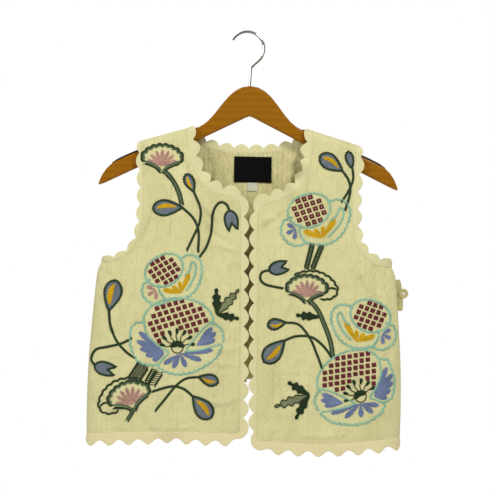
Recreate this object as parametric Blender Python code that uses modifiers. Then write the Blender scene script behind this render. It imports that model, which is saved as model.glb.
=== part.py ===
"""Embroidered waistcoat hanging on a wooden hanger, built from its cut pieces.

The row frame has its origin at the top of the hook's inner curve, where a rail
carries it. X runs to the right as seen from the front, which is the wearer's
left, Y runs from the front to the back, and Z runs up. The tables and sizes are
in millimetres and the meshes are in metres. Widths in the tables are measured
from the garment's centre line.
"""

import math

import bmesh
import bpy
from mathutils import Vector
from mathutils.bvhtree import BVHTree

MM = 0.001
SAME_PLACE = 0.01 * MM       # points nearer than this are one point
NAME = "embroidered_waistcoat"

# Cloth and edging
CLOTH = 2.0            # shell and lining of the body, pressed together
EDGING = 1.5           # scalloped edging
SEAM_HALF = 0.3        # from the seam's plane to the middle of the cloth's end
TUCK = 3.0             # edging that lies behind the panel it edges
INSET = 2.5            # edging's middle behind the panel's middle
LEAN = 0.2             # how fast the edging comes forward past the panel's edge
END_GAP = 0.2          # how far an edging stops short of its seam, besides the seam's own gap
CENTRE_X = 5.5         # the garment's centre line, right of the hook's top

# Depth of the hanging garment, from its middle plane to the middle of the cloth
CHEST_DEPTH = 17.0
HEM_DEPTH = 21.0
CHEST_Z = -200.0
HEM_Z = -560.0
SIDE_ROUND = 42.0      # width over which the side folds round to the back
RIDGE_DEPTH = 12.0     # half depth where the cloth bends over the hanger
RIDGE_HEIGHT = 9.0     # height of that bend
RIDGE_BLEND = 110.0    # height over which it opens to the chest's depth
NORMAL_STEP = 0.1      # for the slopes of the cloth
BEND_ANGLES = (8.0, 24.0, 44.0, 66.0, 90.0)    # where rows or columns lie round a bend, in degrees

# Side seam from the underarm down: (height, half width)
SIDE_SEAM = [
    (-345.5, 215.5), (-354.0, 219.4), (-366.0, 222.0), (-400.0, 225.0), (-440.0, 228.2),
    (-480.0, 231.0), (-520.0, 232.5), (-566.0, 233.0), (-600.0, 232.5),
]
# Armhole from the underarm to the shoulder: (half width, height)
ARMHOLE = [
    (215.5, -345.5), (206.5, -344.6), (192.0, -341.6), (175.0, -331.0), (163.0, -315.0),
    (156.6, -291.0), (155.0, -265.0), (154.8, -238.0), (156.2, -210.0), (158.2, -185.5), (159.0, -163.9),
]
# Shoulder seam from the neck outwards: (half width, height)
SHOULDER = [(60.0, -134.0), (93.0, -144.2), (125.0, -153.7), (142.0, -158.7), (159.0, -163.9)]
# Neck edges from the corner at the centre front to the shoulder: (half width, height)
NECK_RIGHT = [
    (10.6, -266.0), (12.8, -252.5), (22.5, -246.5), (39.0, -243.0),
    (62.0, -232.5), (77.0, -213.0), (86.5, -189.0), (91.5, -163.0), (93.0, -144.2),
]
NECK_LEFT = [
    (15.4, -275.0), (18.0, -262.5), (27.0, -255.5), (42.0, -251.0),
    (63.5, -241.0), (80.0, -226.0), (90.0, -202.0), (94.0, -176.0), (95.0, -144.8),
]
# Back neck from the centre back to the shoulder: (half width, height)
NECK_BACK = [(0.0, -179.2), (30.0, -177.8), (55.0, -173.4), (76.0, -164.6), (89.0, -153.8), (94.0, -144.5)]

# Centre edge's half width and the hem's heights at the centre, middle and side seam
FRONT_RIGHT = {"side": -1, "neck": NECK_RIGHT, "low": 4.6, "hem": (-594.5, -593.0, -599.0)}
FRONT_LEFT = {"side": 1, "neck": NECK_LEFT, "low": 20.4, "hem": (-604.5, -606.0, -595.5)}
# The back is cut higher at its centre, and each side meets its front
BACK_HEM = {-1: (-503.0, -541.0, -599.0), 1: (-503.0, -541.0, -595.5)}
SPLIT_Z = -322.0       # height on the centre front or back that faces the underarm
HEM_CORNER = 8.0       # size of the rounded corner of the hem at the centre front

# Rows from the hem to the underarm, to the neck's corner, and to the shoulder
LOW_ROWS = 9
FADE_POWER = 2               # how fast the hem's shape fades in the rows above it
MIDDLE_ROWS = 5
HIGH_ROWS = 8
CROWDING = 1.5         # how the rows crowd towards the underarm
MIDDLE_ARMHOLE = {-1: 62.0, 1: 112.0}    # armhole length by a front's and the back's middle rows
CORNER_NICK = 0.3      # how far the hem's corner is cut back, as a share of its size
FLAT_COLUMNS = 8

# Soft folds, in or out along Y: (half width, top, bottom, lean, spread, depth)
FOLDS_RIGHT = [
    (40.0, -300.0, -590.0, 8.0, 18.0, 1.8), (96.0, -360.0, -600.0, -6.0, 22.0, -2.2),
    (150.0, -250.0, -560.0, 10.0, 20.0, 1.6),
]
FOLDS_LEFT = [
    (52.0, -290.0, -560.0, -8.0, 20.0, -1.8), (105.0, -380.0, -605.0, 6.0, 20.0, 2.2),
    (146.0, -240.0, -520.0, -8.0, 20.0, 1.6),
]
FOLDS_BACK = [
    (-150.0, -380.0, -600.0, 8.0, 24.0, 2.4), (-70.0, -260.0, -520.0, -6.0, 22.0, -1.8),
    (20.0, -320.0, -510.0, 8.0, 26.0, 2.0), (95.0, -300.0, -560.0, 6.0, 22.0, -2.2),
    (160.0, -400.0, -600.0, -6.0, 20.0, 2.2),
]

# Edging past the panel's edge: (width at the notches, height of the scallops)
EDGE_HEM = (11.5, 8.0)
EDGE_CENTRE = (5.0, 7.8)
EDGE_NECK = (10.0, 8.0)
EDGE_BACK_NECK = (7.5, 6.5)
EDGE_ARMHOLE = {-1: (4.0, 5.5), 1: (7.5, 6.5)}
EDGE_SHOULDER = 6.0    # width at the shoulder, where it lies on the hanger
EDGE_BLEND = 24.0      # length over which one width passes into the next
SCALLOP = {"hem": 28.0, "centre": 27.0, "neck": 25.5, "armhole": 25.0, "back_neck": 22.0}
LOBE = [(0.0, 0.0), (0.2, 0.75), (0.5, 1.0), (0.8, 0.75)]    # (share of a scallop, share of its height)
NOTCH_Z = {-1: -490.0, 1: -481.0}        # a notch on each centre edge, which sets the others

# Hanger, its upper and lower edge: (half width, height)
WOOD = 12.0
WOOD_ROUND = 3.5
WOOD_CORNER_SHARE = 0.45     # the most of a side that a rounded corner takes
ARCH_FOOT = 6.0              # half width at which the lower edge's arch begins
HANGER_TOP = [
    (0.0, -79.0), (12.0, -81.0), (22.0, -86.3), (31.0, -94.0), (42.0, -107.3), (53.0, -122.0),
    (61.5, -131.6), (70.0, -138.4), (78.0, -142.7), (93.0, -149.3), (110.0, -156.4), (132.0, -165.4),
    (154.0, -174.6), (174.0, -183.0), (190.0, -190.6), (203.0, -197.5), (211.0, -205.0),
    (217.0, -214.0), (221.0, -223.0), (222.3, -228.4),
]
HANGER_LOW = [
    (0.0, -124.0), (6.0, -126.2), (32.0, -139.2), (64.7, -155.4), (77.5, -161.8),
    (121.0, -182.4), (165.5, -203.6), (190.0, -215.6), (216.0, -228.3), (222.3, -229.8),
]
GRIP = {"start": 78.0, "end": 203.0, "half_width": 2.2, "thick": 0.6, "lift": 0.3}
WIRE = 4.0                   # diameter of the hook's wire
HOOK_ROUND = 23.0            # inner radius of the hook's round
HOOK_TIP_DEG = 150.0
HOOK_TURN_DEG = -52.0        # where the round leaves for the stem
HOOK_STEPS = 22
BEND_SHARES = (0.25, 0.5, 0.75)
WIRE_ROUNDNESS = 2           # extra faces on each quarter of the wire's section
HOOK_PULL = (-6.0, -5.0)     # from the round's end to the point that draws the reverse bend
STEM_BEND = (6.2, -52.0)     # (x, z) where the reverse bend ends
STEM_X = 5.0
STEM_UPRIGHT = -76.0         # height below which the stem is upright
STEM_FOOT = -98.0
BORE_RADIUS = 2.35           # hole that takes the stem
BORE_FLOOR = -100.0
BORE_ABOVE = 20.0            # how far the drill starts above the wood
BORE_SIDES = 16

# Labels inside the back neck: centre, top, size and thickness
NECK_LABEL = {"x": 6.5, "top": -183.4, "width": 56.0, "height": 38.5, "thick": 0.8, "lift": 0.5}
CARE_LABEL = {"x": 6.5, "top": -222.4, "width": 15.0, "height": 12.5, "thick": 0.6, "lift": 0.5}
LABEL_COLUMNS = 5
LABEL_ROWS = 4
IN_FRONT = -500.0      # a Y from which to look back at the inside of the back

# Tab in the left side seam, (height, width past the cloth), and its button
TAB = [(-363.0, 5.0), (-366.0, 7.0), (-381.0, 8.0), (-395.0, 8.5), (-406.0, 7.5), (-409.5, 5.0)]
TAB_BODY = {"middle_y": 3.4, "thick": 1.8, "gap": 0.35}
BUTTON = {"x": 234.6, "z": -383.5, "radius": 7.3, "thick": 2.8, "hole": 0.9, "spread": 1.7}
# Section of the button: (share of its radius, share of its thickness)
BUTTON_SECTION = [
    (0.0, 0.62), (0.55, 0.66), (0.71, 1.0), (0.88, 1.0), (1.0, 0.6), (1.0, 0.3), (0.8, 0.0), (0.0, 0.0),
]
BUTTON_SIDES = 24
BUTTON_HOLES = 4
FIRST_HOLE_DEG = 45.0
HOLE_SIDES = 8
HOLE_DRILL = 11.2            # length of the drill that makes a hole

# Colour, roughness and metallic value of each material
COLOURS = {
    "cloth": (0.80, 0.76, 0.55, 0.92, 0.0), "edging": (0.80, 0.71, 0.45, 0.95, 0.0),
    "black_label": (0.01, 0.01, 0.01, 0.85, 0.0), "white_label": (0.82, 0.82, 0.70, 0.85, 0.0),
    "button": (0.72, 0.64, 0.36, 0.45, 0.0), "wood": (0.50, 0.21, 0.03, 0.35, 0.0),
    "rubber": (0.01, 0.01, 0.012, 0.60, 0.0), "chrome": (0.65, 0.65, 0.62, 0.18, 1.0),
}


def clear_scene():
    for obj in list(bpy.data.objects):
        bpy.data.objects.remove(obj)


def new_collection(name):
    collection = bpy.data.collections.new(name)
    bpy.context.scene.collection.children.link(collection)
    return collection


def material(name, finish):
    """A Principled material of its own for each object."""
    red, green, blue, rough, metal = COLOURS[finish]
    made = bpy.data.materials.new(name)
    made.use_nodes = True
    shader = made.node_tree.nodes["Principled BSDF"]
    shader.inputs["Base Color"].default_value = (red, green, blue, 1.0)
    shader.inputs["Roughness"].default_value = rough
    shader.inputs["Metallic"].default_value = metal
    return made


def add_mesh(collection, name, points, faces, finish):
    """A smooth mesh object from points in millimetres."""
    mesh = bpy.data.meshes.new(name)
    mesh.from_pydata([Vector(p) * MM for p in points], [], faces)
    mesh.update()
    mesh.shade_smooth()
    mesh.set_sharp_from_angle(angle=math.radians(50))
    mesh.materials.append(material(name, finish))
    obj = bpy.data.objects.new(name, mesh)
    collection.objects.link(obj)
    return obj


def add_wall(obj, thickness):
    modifier = obj.modifiers.new("wall", "SOLIDIFY")
    modifier.thickness = thickness * MM
    modifier.offset = 0.0


def lerp(a, b, share):
    return a + (b - a) * share


def smoothstep(value):
    value = min(1.0, max(0.0, value))
    return value * value * (3 - 2 * value)


def table_at(table, key):
    """Second column of a table at a value of its first, with a straight run past each end."""
    rows = sorted(table)
    for (k0, v0), (k1, v1) in zip(rows, rows[1:]):
        if key <= k1 or k1 == rows[-1][0]:
            return lerp(v0, v1, (key - k0) / (k1 - k0))


def curve_through(points, pieces=8):
    """A smooth run through the points, as vectors in the XZ plane."""
    points = [Vector((x, 0.0, z)) for x, z in points]
    ends = [points[0] * 2 - points[1], *points, points[-1] * 2 - points[-2]]
    run = []
    for p0, p1, p2, p3 in zip(ends, ends[1:], ends[2:], ends[3:]):
        for step in range(pieces):
            t = step / pieces
            even = 2 * p0 - 5 * p1 + 4 * p2 - p3
            run.append(0.5 * (2 * p1 + (p2 - p0) * t + even * t * t + (3 * p1 - p0 - 3 * p2 + p3) * t ** 3))
    return run + [points[-1]]


def lengths_along(run):
    total = [0.0]
    for a, b in zip(run, run[1:]):
        total.append(total[-1] + (b - a).length)
    return total


def point_at(run, lengths, distance):
    """The point of a run at a distance from its start."""
    for i in range(1, len(run)):
        if distance <= lengths[i]:
            return run[i - 1].lerp(run[i], (distance - lengths[i - 1]) / (lengths[i] - lengths[i - 1]))
    return run[-1].copy()


def bend_falls(size):
    """Distances from a seam to the rows or columns that round a bend of this size."""
    return [size * (1 - math.cos(math.radians(angle))) for angle in BEND_ANGLES]


def side_half_width(z):
    """Half width of the flat garment, held at the underarm's width above it."""
    return SIDE_SEAM[0][1] if z > SIDE_SEAM[0][0] else table_at(SIDE_SEAM, z)


def quarter_round(distance, size):
    """Rise of a quarter ellipse from 0 at its end to 1 where it is flat."""
    left = 1 - min(max(distance, 0.0), size) / size
    return math.sqrt(max(0.0, 1 - left * left))


def fold_offset(u, z, edge, folds):
    """Soft troughs and ridges of the hanging cloth, gone before the side seam."""
    moved = 0.0
    for across, top, bottom, lean, spread, deep in folds:
        down = (top - z) / (top - bottom)
        away = (u - across - lean * down) / spread
        moved += deep * math.exp(-away * away) * smoothstep(down * 2.5)
    return moved * smoothstep(edge / SIDE_ROUND)


def depth(u, z, edge, fall, folds):
    """Distance of the cloth's middle from the garment's middle plane.

    The edge is the distance from the side seam, and the fall that from the shoulder's.
    """
    full = lerp(CHEST_DEPTH, HEM_DEPTH, smoothstep((CHEST_Z - z) / (CHEST_Z - HEM_Z)))
    side = full * quarter_round(edge, SIDE_ROUND)
    ridge = RIDGE_DEPTH * quarter_round(fall, RIDGE_HEIGHT)
    opened = smoothstep((fall - RIDGE_HEIGHT) / RIDGE_BLEND)
    return lerp(min(ridge, side), side, opened) + fold_offset(u, z, edge, folds) * opened


def spread_stations(start, end, count, crowding=1.0):
    """Distances after the start, crowded towards it, with the end as the last."""
    return [start + (end - start) * ((i + 1) / count) ** crowding for i in range(count)]


def stations(run, split, corner, corner_first, crowding):
    """Distances along an edge at which the rows of a panel end, from hem to shoulder."""
    lengths = lengths_along(run)
    falls = bend_falls(RIDGE_HEIGHT)
    last = lengths[-1] - falls[-1]
    marks = [0.0, corner_first]
    marks += spread_stations(corner_first, split, LOW_ROWS)
    marks += spread_stations(split, corner, MIDDLE_ROWS, crowding)
    marks += spread_stations(corner, last, HIGH_ROWS)
    marks += [lengths[-1] - fall for fall in reversed(falls[:-1])]
    return [point_at(run, lengths, mark) for mark in marks + [lengths[-1]]]


def length_where(run, test):
    """Length of a run up to the first point that passes the test."""
    for point, length in zip(run, lengths_along(run)):
        if test(point):
            return length


def outer_edge():
    """Side seam and armhole as one run, and its length to the underarm."""
    side = curve_through([(width, z) for z, width in reversed(SIDE_SEAM)])
    return side + curve_through(ARMHOLE)[1:], lengths_along(side)[-1]


def column_distances(width):
    """Distances from a row's inner end, crowded round the side fold."""
    falls = bend_falls(SIDE_ROUND)
    flat = width - falls[-1]
    inner = [0.0, min(HEM_CORNER, flat / FLAT_COLUMNS)]
    inner += spread_stations(inner[1], flat, FLAT_COLUMNS)
    return inner + [width - fall for fall in reversed(falls[:-1])] + [width]


def hem_height(hem, share):
    """Height of a hem through its centre, middle and side values."""
    centre, middle, side = hem
    bow = middle - (centre + side) / 2
    return lerp(centre, side, share) + bow * math.sin(math.pi * share)


def cloth_normal(w, z, edge, fall, folds, side, facing):
    """Outward direction of the cloth, from the slopes of its depth."""
    step = NORMAL_STEP
    edge, fall = max(edge, 5 * step), max(fall, 5 * step)
    drop = (table_at(SHOULDER, w + step) - table_at(SHOULDER, w - step)) / 2
    wider = depth(side * (w + step), z, edge - step, fall + drop, folds)
    narrower = depth(side * (w - step), z, edge + step, fall - drop, folds)
    higher = depth(side * w, z + step, edge, fall - step, folds)
    lower = depth(side * w, z - step, edge, fall + step, folds)
    return Vector((side * (narrower - wider), facing * 2 * step, lower - higher)).normalized()


def row_falls(count):
    """Distance below the shoulder seam of each of the last rows, and None for the others."""
    falls = [0.0, *bend_falls(RIDGE_HEIGHT)[:-1]]
    return [None] * (count - len(falls)) + list(reversed(falls))


def panel_grid(inner_ends, outer_ends, hem, side, facing, folds):
    """Points of one panel and the cloth's outward directions there.

    The rows run from the hem up, and each row from its inner edge to the side.
    """
    grid, normals = [], []
    falls = row_falls(len(inner_ends))
    for number, (inner, outer) in enumerate(zip(inner_ends, outer_ends)):
        width = (outer - inner).length
        fade = max(0.0, 1 - number / LOW_ROWS) ** FADE_POWER
        row, row_normals = [], []
        for distance in column_distances(width):
            share = distance / width
            p = inner.lerp(outer, share)
            if number > 0 or distance > 0.0:
                p.z += (hem_height(hem, share) - lerp(inner_ends[0].z, outer_ends[0].z, share)) * fade
            edge = outer.x - p.x if number <= LOW_ROWS + 1 else SIDE_SEAM[0][1] - p.x
            fall = falls[number]
            if fall is None:
                fall = table_at(SHOULDER, p.x) - p.z
            else:
                p.z = table_at(SHOULDER, p.x) - fall
            y = facing * (SEAM_HALF + depth(side * p.x, p.z, edge, fall, folds))
            row.append(Vector((CENTRE_X + side * p.x, y, p.z)))
            normal = cloth_normal(p.x, p.z, edge, fall, folds, side, facing)
            if on_seam(row[-1]):
                normal = Vector((normal.x, 0.0, normal.z)).normalized()
            row_normals.append(normal)
        grid.append(row)
        normals.append(row_normals)
    return grid, normals


def on_seam(spot):
    """True for a point of a side or shoulder seam."""
    return abs(spot.y) < 2 * SEAM_HALF


def front_grid(cut, folds):
    """One front, from the centre edge and neck to the side seam and armhole."""
    low, (neck_u, neck_z) = cut["low"], cut["neck"][0]
    hem = cut["hem"]
    nick = HEM_CORNER * CORNER_NICK
    centre = [Vector((low + nick, 0.0, hem[0] + nick)), Vector((low, 0.0, hem[0] + HEM_CORNER))]
    run = centre + curve_through(cut["neck"])
    corner = length_where(run, lambda p: p.z >= cut["neck"][1][1])
    split = length_where(centre + [Vector((neck_u, 0.0, SPLIT_Z))], lambda p: p.z >= SPLIT_Z)
    first = lengths_along(centre)[1]
    outer, underarm = outer_edge()
    inner_ends = stations(run, split, corner, first, 1.0)
    outer_ends = stations(outer, underarm, underarm + MIDDLE_ARMHOLE[-1], HEM_CORNER, CROWDING)
    return panel_grid(inner_ends, outer_ends, hem, cut["side"], -1, folds)


def back_grid(side):
    """Half of the back, from the centre line and neck to the side seam and armhole."""
    hem = BACK_HEM[side]
    run = [Vector((0.0, 0.0, hem[0]))] + curve_through(NECK_BACK)
    split = SPLIT_Z - hem[0]
    corner = NECK_BACK[0][1] - hem[0]
    outer, underarm = outer_edge()
    outer_ends = stations(outer, underarm, underarm + MIDDLE_ARMHOLE[1], HEM_CORNER, CROWDING)
    inner_ends = stations(run, split, corner, HEM_CORNER, 1.0)
    return panel_grid(inner_ends, outer_ends, hem, side, 1, FOLDS_BACK)


def grid_faces(grid, first, flip):
    """Quads between the rows of a grid whose points start at index first."""
    width = len(grid[0])
    faces = []
    for r in range(len(grid) - 1):
        for c in range(width - 1):
            a = first + r * width + c
            face = (a, a + 1, a + width + 1, a + width)
            faces.append(face[::-1] if flip else face)
    return faces


def panel_object(collection, name, grids):
    """A cloth panel from one grid, or from two that meet on the centre line."""
    points, faces = [], []
    for grid, side, facing in grids:
        faces += grid_faces(grid, len(points), side * facing > 0)
        points += [p for row in grid for p in row]
    obj = add_mesh(collection, name, points, faces, "cloth")
    work = bmesh.new()
    work.from_mesh(obj.data)
    bmesh.ops.remove_doubles(work, verts=work.verts, dist=SAME_PLACE)
    work.to_mesh(obj.data)
    work.free()
    add_wall(obj, CLOTH)
    return obj


def edge_path(panel, cells, turn):
    """Points of a panel's edge, each with the directions out of the cloth and past its edge.

    A cell is (row, column), and the turn is 1 where the edge, seen from outside the
    garment, runs anticlockwise round its panel, and -1 where it runs clockwise.
    """
    grid, normals = panel
    path = []
    spots = [grid[r][c] for r, c in cells]
    for i, (r, c) in enumerate(cells):
        along = spots[min(i + 1, len(spots) - 1)] - spots[max(i - 1, 0)]
        if on_seam(spots[i]):
            along = Vector((0.0, along.y, 0.0))
        out = along.cross(normals[r][c]) * turn
        path.append((spots[i], normals[r][c], out.normalized()))
    return path


def path_at(path, lengths, distance):
    """Point and directions of an edge path at a distance along it."""
    for i in range(1, len(path)):
        if distance <= lengths[i] or i == len(path) - 1:
            share = (distance - lengths[i - 1]) / (lengths[i] - lengths[i - 1])
            spot, normal, out = (a.lerp(b, share) for a, b in zip(path[i - 1], path[i]))
            return spot, normal.normalized(), out.normalized()


def scallop_marks(start, end, period):
    """(distance, share of the scallop's height) with a notch at both ends."""
    count = max(1, round(abs(end - start) / period))
    size = (end - start) / count
    marks = [(start + (k + share) * size, height) for k in range(count) for share, height in LOBE]
    return marks + [(end, 0.0)]


def blend_sizes(distance, sections):
    """Edging widths that pass softly from one section of an edge to the next."""
    notch, height = sections[0][1]
    for start, (next_notch, next_height) in sections[1:]:
        share = smoothstep((distance - start) / EDGE_BLEND + 0.5)
        notch, height = lerp(notch, next_notch, share), lerp(height, next_height, share)
    return notch, height


def edging_object(collection, name, path, marks, sections, closed=False):
    """A scalloped strip that starts behind the panel and comes out past its edge."""
    lengths = lengths_along([spot for spot, _, _ in path])
    strip = []
    end_gap = 0.0 if closed else END_GAP
    for distance, height_share in marks:
        kept = min(max(distance, end_gap), lengths[-1] - end_gap)
        spot, normal, out = path_at(path, lengths, kept)
        notch, height = blend_sizes(distance, sections)
        width = notch + height * height_share
        strip.append([
            spot - out * TUCK - normal * INSET,
            spot - normal * INSET,
            spot + out * width - normal * (INSET - LEAN * width),
        ])
    if closed:
        strip[-1] = strip[0]
    points = [p for row in strip for p in row]
    faces = grid_faces(strip, 0, False)
    obj = add_mesh(collection, name, points, faces, "edging")
    work = bmesh.new()
    work.from_mesh(obj.data)
    if closed:
        bmesh.ops.remove_doubles(work, verts=work.verts, dist=SAME_PLACE)
    bmesh.ops.recalc_face_normals(work, faces=work.faces)
    work.to_mesh(obj.data)
    work.free()
    add_wall(obj, EDGING)
    return obj


def front_edging(collection, name, panel, cut):
    """Edging of the neck, centre edge and hem of one front, in one strip."""
    rows, columns = len(panel[0]), len(panel[0][0])
    cells = [(r, 0) for r in range(rows - 1, 0, -1)] + [(0, c) for c in range(columns)]
    path = edge_path(panel, cells, cut["side"])
    spots = [spot for spot, _, _ in path]
    lengths = lengths_along(spots)
    neck_corner = length_where(spots, lambda p: p.z <= cut["neck"][1][1])
    corner = lengths[rows - 1]
    notch_z = NOTCH_Z[cut["side"]]
    below = next(i for i, p in enumerate(spots) if p.z <= notch_z)
    anchor = lengths[below] - (notch_z - spots[below].z)
    period = SCALLOP["centre"]
    top_notch = anchor - period * ((anchor - neck_corner) // period)
    low_notch = anchor + period * ((corner - anchor) // period)
    marks = scallop_marks(0.0, top_notch, SCALLOP["neck"])[:-1]
    marks += scallop_marks(top_notch, low_notch, period)[:-1]
    marks += scallop_marks(low_notch, lengths[-1], SCALLOP["hem"])
    sections = [
        (0.0, (EDGE_SHOULDER, EDGE_NECK[1])), (EDGE_BLEND, EDGE_NECK),
        (neck_corner, EDGE_CENTRE), (corner, EDGE_HEM),
    ]
    return edging_object(collection, name, path, marks, sections)


def both_halves(halves, cells, turn):
    """Edge path across the back, from the wearer's right to the wearer's left."""
    right = edge_path(halves[-1], cells, -turn)
    left = edge_path(halves[1], cells, turn)
    return list(reversed(right)) + left[1:]


def back_neck_edging(collection, halves, neck_row):
    rows = len(halves[1][0])
    cells = [(r, 0) for r in range(neck_row, rows)]
    path = both_halves(halves, cells, 1)
    total = lengths_along([spot for spot, _, _ in path])[-1]
    marks = scallop_marks(0.0, total, SCALLOP["back_neck"])
    shoulder = (EDGE_SHOULDER, EDGE_BACK_NECK[1])
    sections = [(0.0, shoulder), (EDGE_BLEND, EDGE_BACK_NECK), (total - EDGE_BLEND, shoulder)]
    return edging_object(collection, "edging_back_neck", path, marks, sections)


def back_hem_edging(collection, halves):
    columns = len(halves[1][0][0])
    cells = [(0, c) for c in range(columns)]
    path = both_halves(halves, cells, -1)
    total = lengths_along([spot for spot, _, _ in path])[-1]
    marks = scallop_marks(0.0, total, SCALLOP["hem"])
    return edging_object(collection, "edging_back_hem", path, marks, [(0.0, EDGE_HEM)])


def armhole_edging(collection, name, front, back, side):
    """A ring from the underarm up the front, over the shoulder and down the back."""
    rows, last = len(front[0]), len(front[0][0]) - 1
    cells = [(r, last) for r in range(LOW_ROWS + 1, rows)]
    path = edge_path(front, cells, side) + list(reversed(edge_path(back, cells, -side)))
    path.append(path[0])
    total = lengths_along([spot for spot, _, _ in path])[-1]
    marks = scallop_marks(0.0, total, SCALLOP["armhole"])
    return edging_object(collection, name, path, marks, [(0.0, EDGE_ARMHOLE[side])], closed=True)


def label_object(collection, name, size, finish, tree):
    """A flat label that follows the inside of the back panel."""
    strip = []
    for r in range(LABEL_ROWS):
        z = size["top"] - size["height"] * r / (LABEL_ROWS - 1)
        row = []
        for c in range(LABEL_COLUMNS):
            x = CENTRE_X + size["x"] + size["width"] * (c / (LABEL_COLUMNS - 1) - 0.5)
            hit = tree.ray_cast(Vector((x, IN_FRONT, z)) * MM, Vector((0, 1, 0)))[0]
            row.append(hit / MM + Vector((0, -CLOTH / 2 - size["lift"] - size["thick"] / 2, 0)))
        strip.append(row)
    points = [p for row in strip for p in row]
    obj = add_mesh(collection, name, points, grid_faces(strip, 0, False), finish)
    add_wall(obj, size["thick"])
    return obj


def side_tab(collection):
    """A small double tab of cloth, caught at its inner edge in the left side seam."""
    strip = []
    for z, reach in TAB:
        inner = side_half_width(z) + CLOTH / 2 + TAB_BODY["gap"]
        start = Vector((CENTRE_X + inner, TAB_BODY["middle_y"], z))
        strip.append([start, start + Vector((reach / 2, 0, 0)), start + Vector((reach, 0, 0))])
    points = [p for row in strip for p in row]
    obj = add_mesh(collection, "side_tab", points, grid_faces(strip, 0, False), "cloth")
    add_wall(obj, TAB_BODY["thick"])
    return obj


def side_button(collection, cutters):
    """A turned four-hole button sewn to the tab's front."""
    thick = BUTTON["thick"]
    profile = [(BUTTON["radius"] * out * MM, 0.0, thick * up * MM) for out, up in BUTTON_SECTION]
    mesh = bpy.data.meshes.new("side_button")
    edges = [(i, i + 1) for i in range(len(profile) - 1)]
    mesh.from_pydata(profile, edges, [])
    mesh.materials.append(material("side_button", "button"))
    obj = bpy.data.objects.new("side_button", mesh)
    collection.objects.link(obj)
    turned = obj.modifiers.new("turned", "SCREW")
    turned.steps = turned.render_steps = BUTTON_SIDES
    turned.use_merge_vertices = True
    turned.merge_threshold = SAME_PLACE
    back = TAB_BODY["middle_y"] - TAB_BODY["thick"] / 2 - TAB_BODY["gap"]
    obj.location = Vector((CENTRE_X + BUTTON["x"], back, BUTTON["z"])) * MM
    obj.rotation_euler = (math.radians(90), 0, 0)
    for number in range(BUTTON_HOLES):
        turn = math.radians(FIRST_HOLE_DEG + 360 / BUTTON_HOLES * number)
        x = CENTRE_X + BUTTON["x"] + BUTTON["spread"] * math.cos(turn)
        z = BUTTON["z"] + BUTTON["spread"] * math.sin(turn)
        cutter = cylinder(cutters, f"button_hole_{number}", BUTTON["hole"], HOLE_DRILL, HOLE_SIDES)
        cutter.location = Vector((x, back - thick / 2, z)) * MM
        cutter.rotation_euler = (math.radians(90), 0, 0)
        cut_with(obj, cutter)
    return obj


def cylinder(collection, name, radius, height, sides):
    """A closed cylinder along Z, centred, used as a cutter."""
    work = bmesh.new()
    bmesh.ops.create_cone(
        work, cap_ends=True, segments=sides, radius1=radius * MM, radius2=radius * MM, depth=height * MM
    )
    mesh = bpy.data.meshes.new(name)
    work.to_mesh(mesh)
    work.free()
    obj = bpy.data.objects.new(name, mesh)
    obj.hide_render = True
    obj.display_type = "WIRE"
    collection.objects.link(obj)
    return obj


def cut_with(obj, cutter):
    modifier = obj.modifiers.new(cutter.name, "BOOLEAN")
    modifier.operation = "DIFFERENCE"
    modifier.solver = "EXACT"
    modifier.object = cutter


def wood_section(x, top, low):
    """A rounded section across the hanger's arm, its corners cut in two steps."""
    half = WOOD / 2
    corner = min(WOOD_ROUND, WOOD_CORNER_SHARE * (top - low), WOOD_CORNER_SHARE * WOOD)
    slope = corner * (1 - math.sqrt(0.5))
    quarter = [(half, corner), (half - slope, slope), (half - corner, 0.0)]
    upper = [(y, top - fall) for y, fall in quarter] + [(-y, top - fall) for y, fall in reversed(quarter)]
    lower = [(-y, low + rise) for y, rise in quarter] + [(y, low + rise) for y, rise in reversed(quarter)]
    return [Vector((x, y, z)) for y, z in upper + lower]


def hanger_body(collection, cutters):
    """The shaped wooden hanger, lofted through its sections, with the stem's hole."""
    marks = sorted({u for u, _ in HANGER_TOP} | {ARCH_FOOT})
    positions = [-u for u in reversed(marks[1:])] + marks
    sections = []
    for u in positions:
        top, low = table_at(HANGER_TOP, abs(u)), table_at(HANGER_LOW, abs(u))
        sections.append(wood_section(CENTRE_X + u, top, low))
    sides = len(sections[0])
    points = [p for section in sections for p in section]
    faces = [tuple(range(sides)), tuple(reversed(range(len(points) - sides, len(points))))]
    for s in range(len(sections) - 1):
        for k in range(sides):
            a, b = s * sides + k, s * sides + (k + 1) % sides
            faces.append((b, a, a + sides, b + sides))
    obj = add_mesh(collection, "hanger_body", points, faces, "wood")
    height = HANGER_TOP[0][1] + BORE_ABOVE - BORE_FLOOR
    bore = cylinder(cutters, "stem_bore", BORE_RADIUS, height, BORE_SIDES)
    bore.location = Vector((STEM_X, 0.0, BORE_FLOOR + height / 2)) * MM
    cut_with(obj, bore)
    return obj


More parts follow.
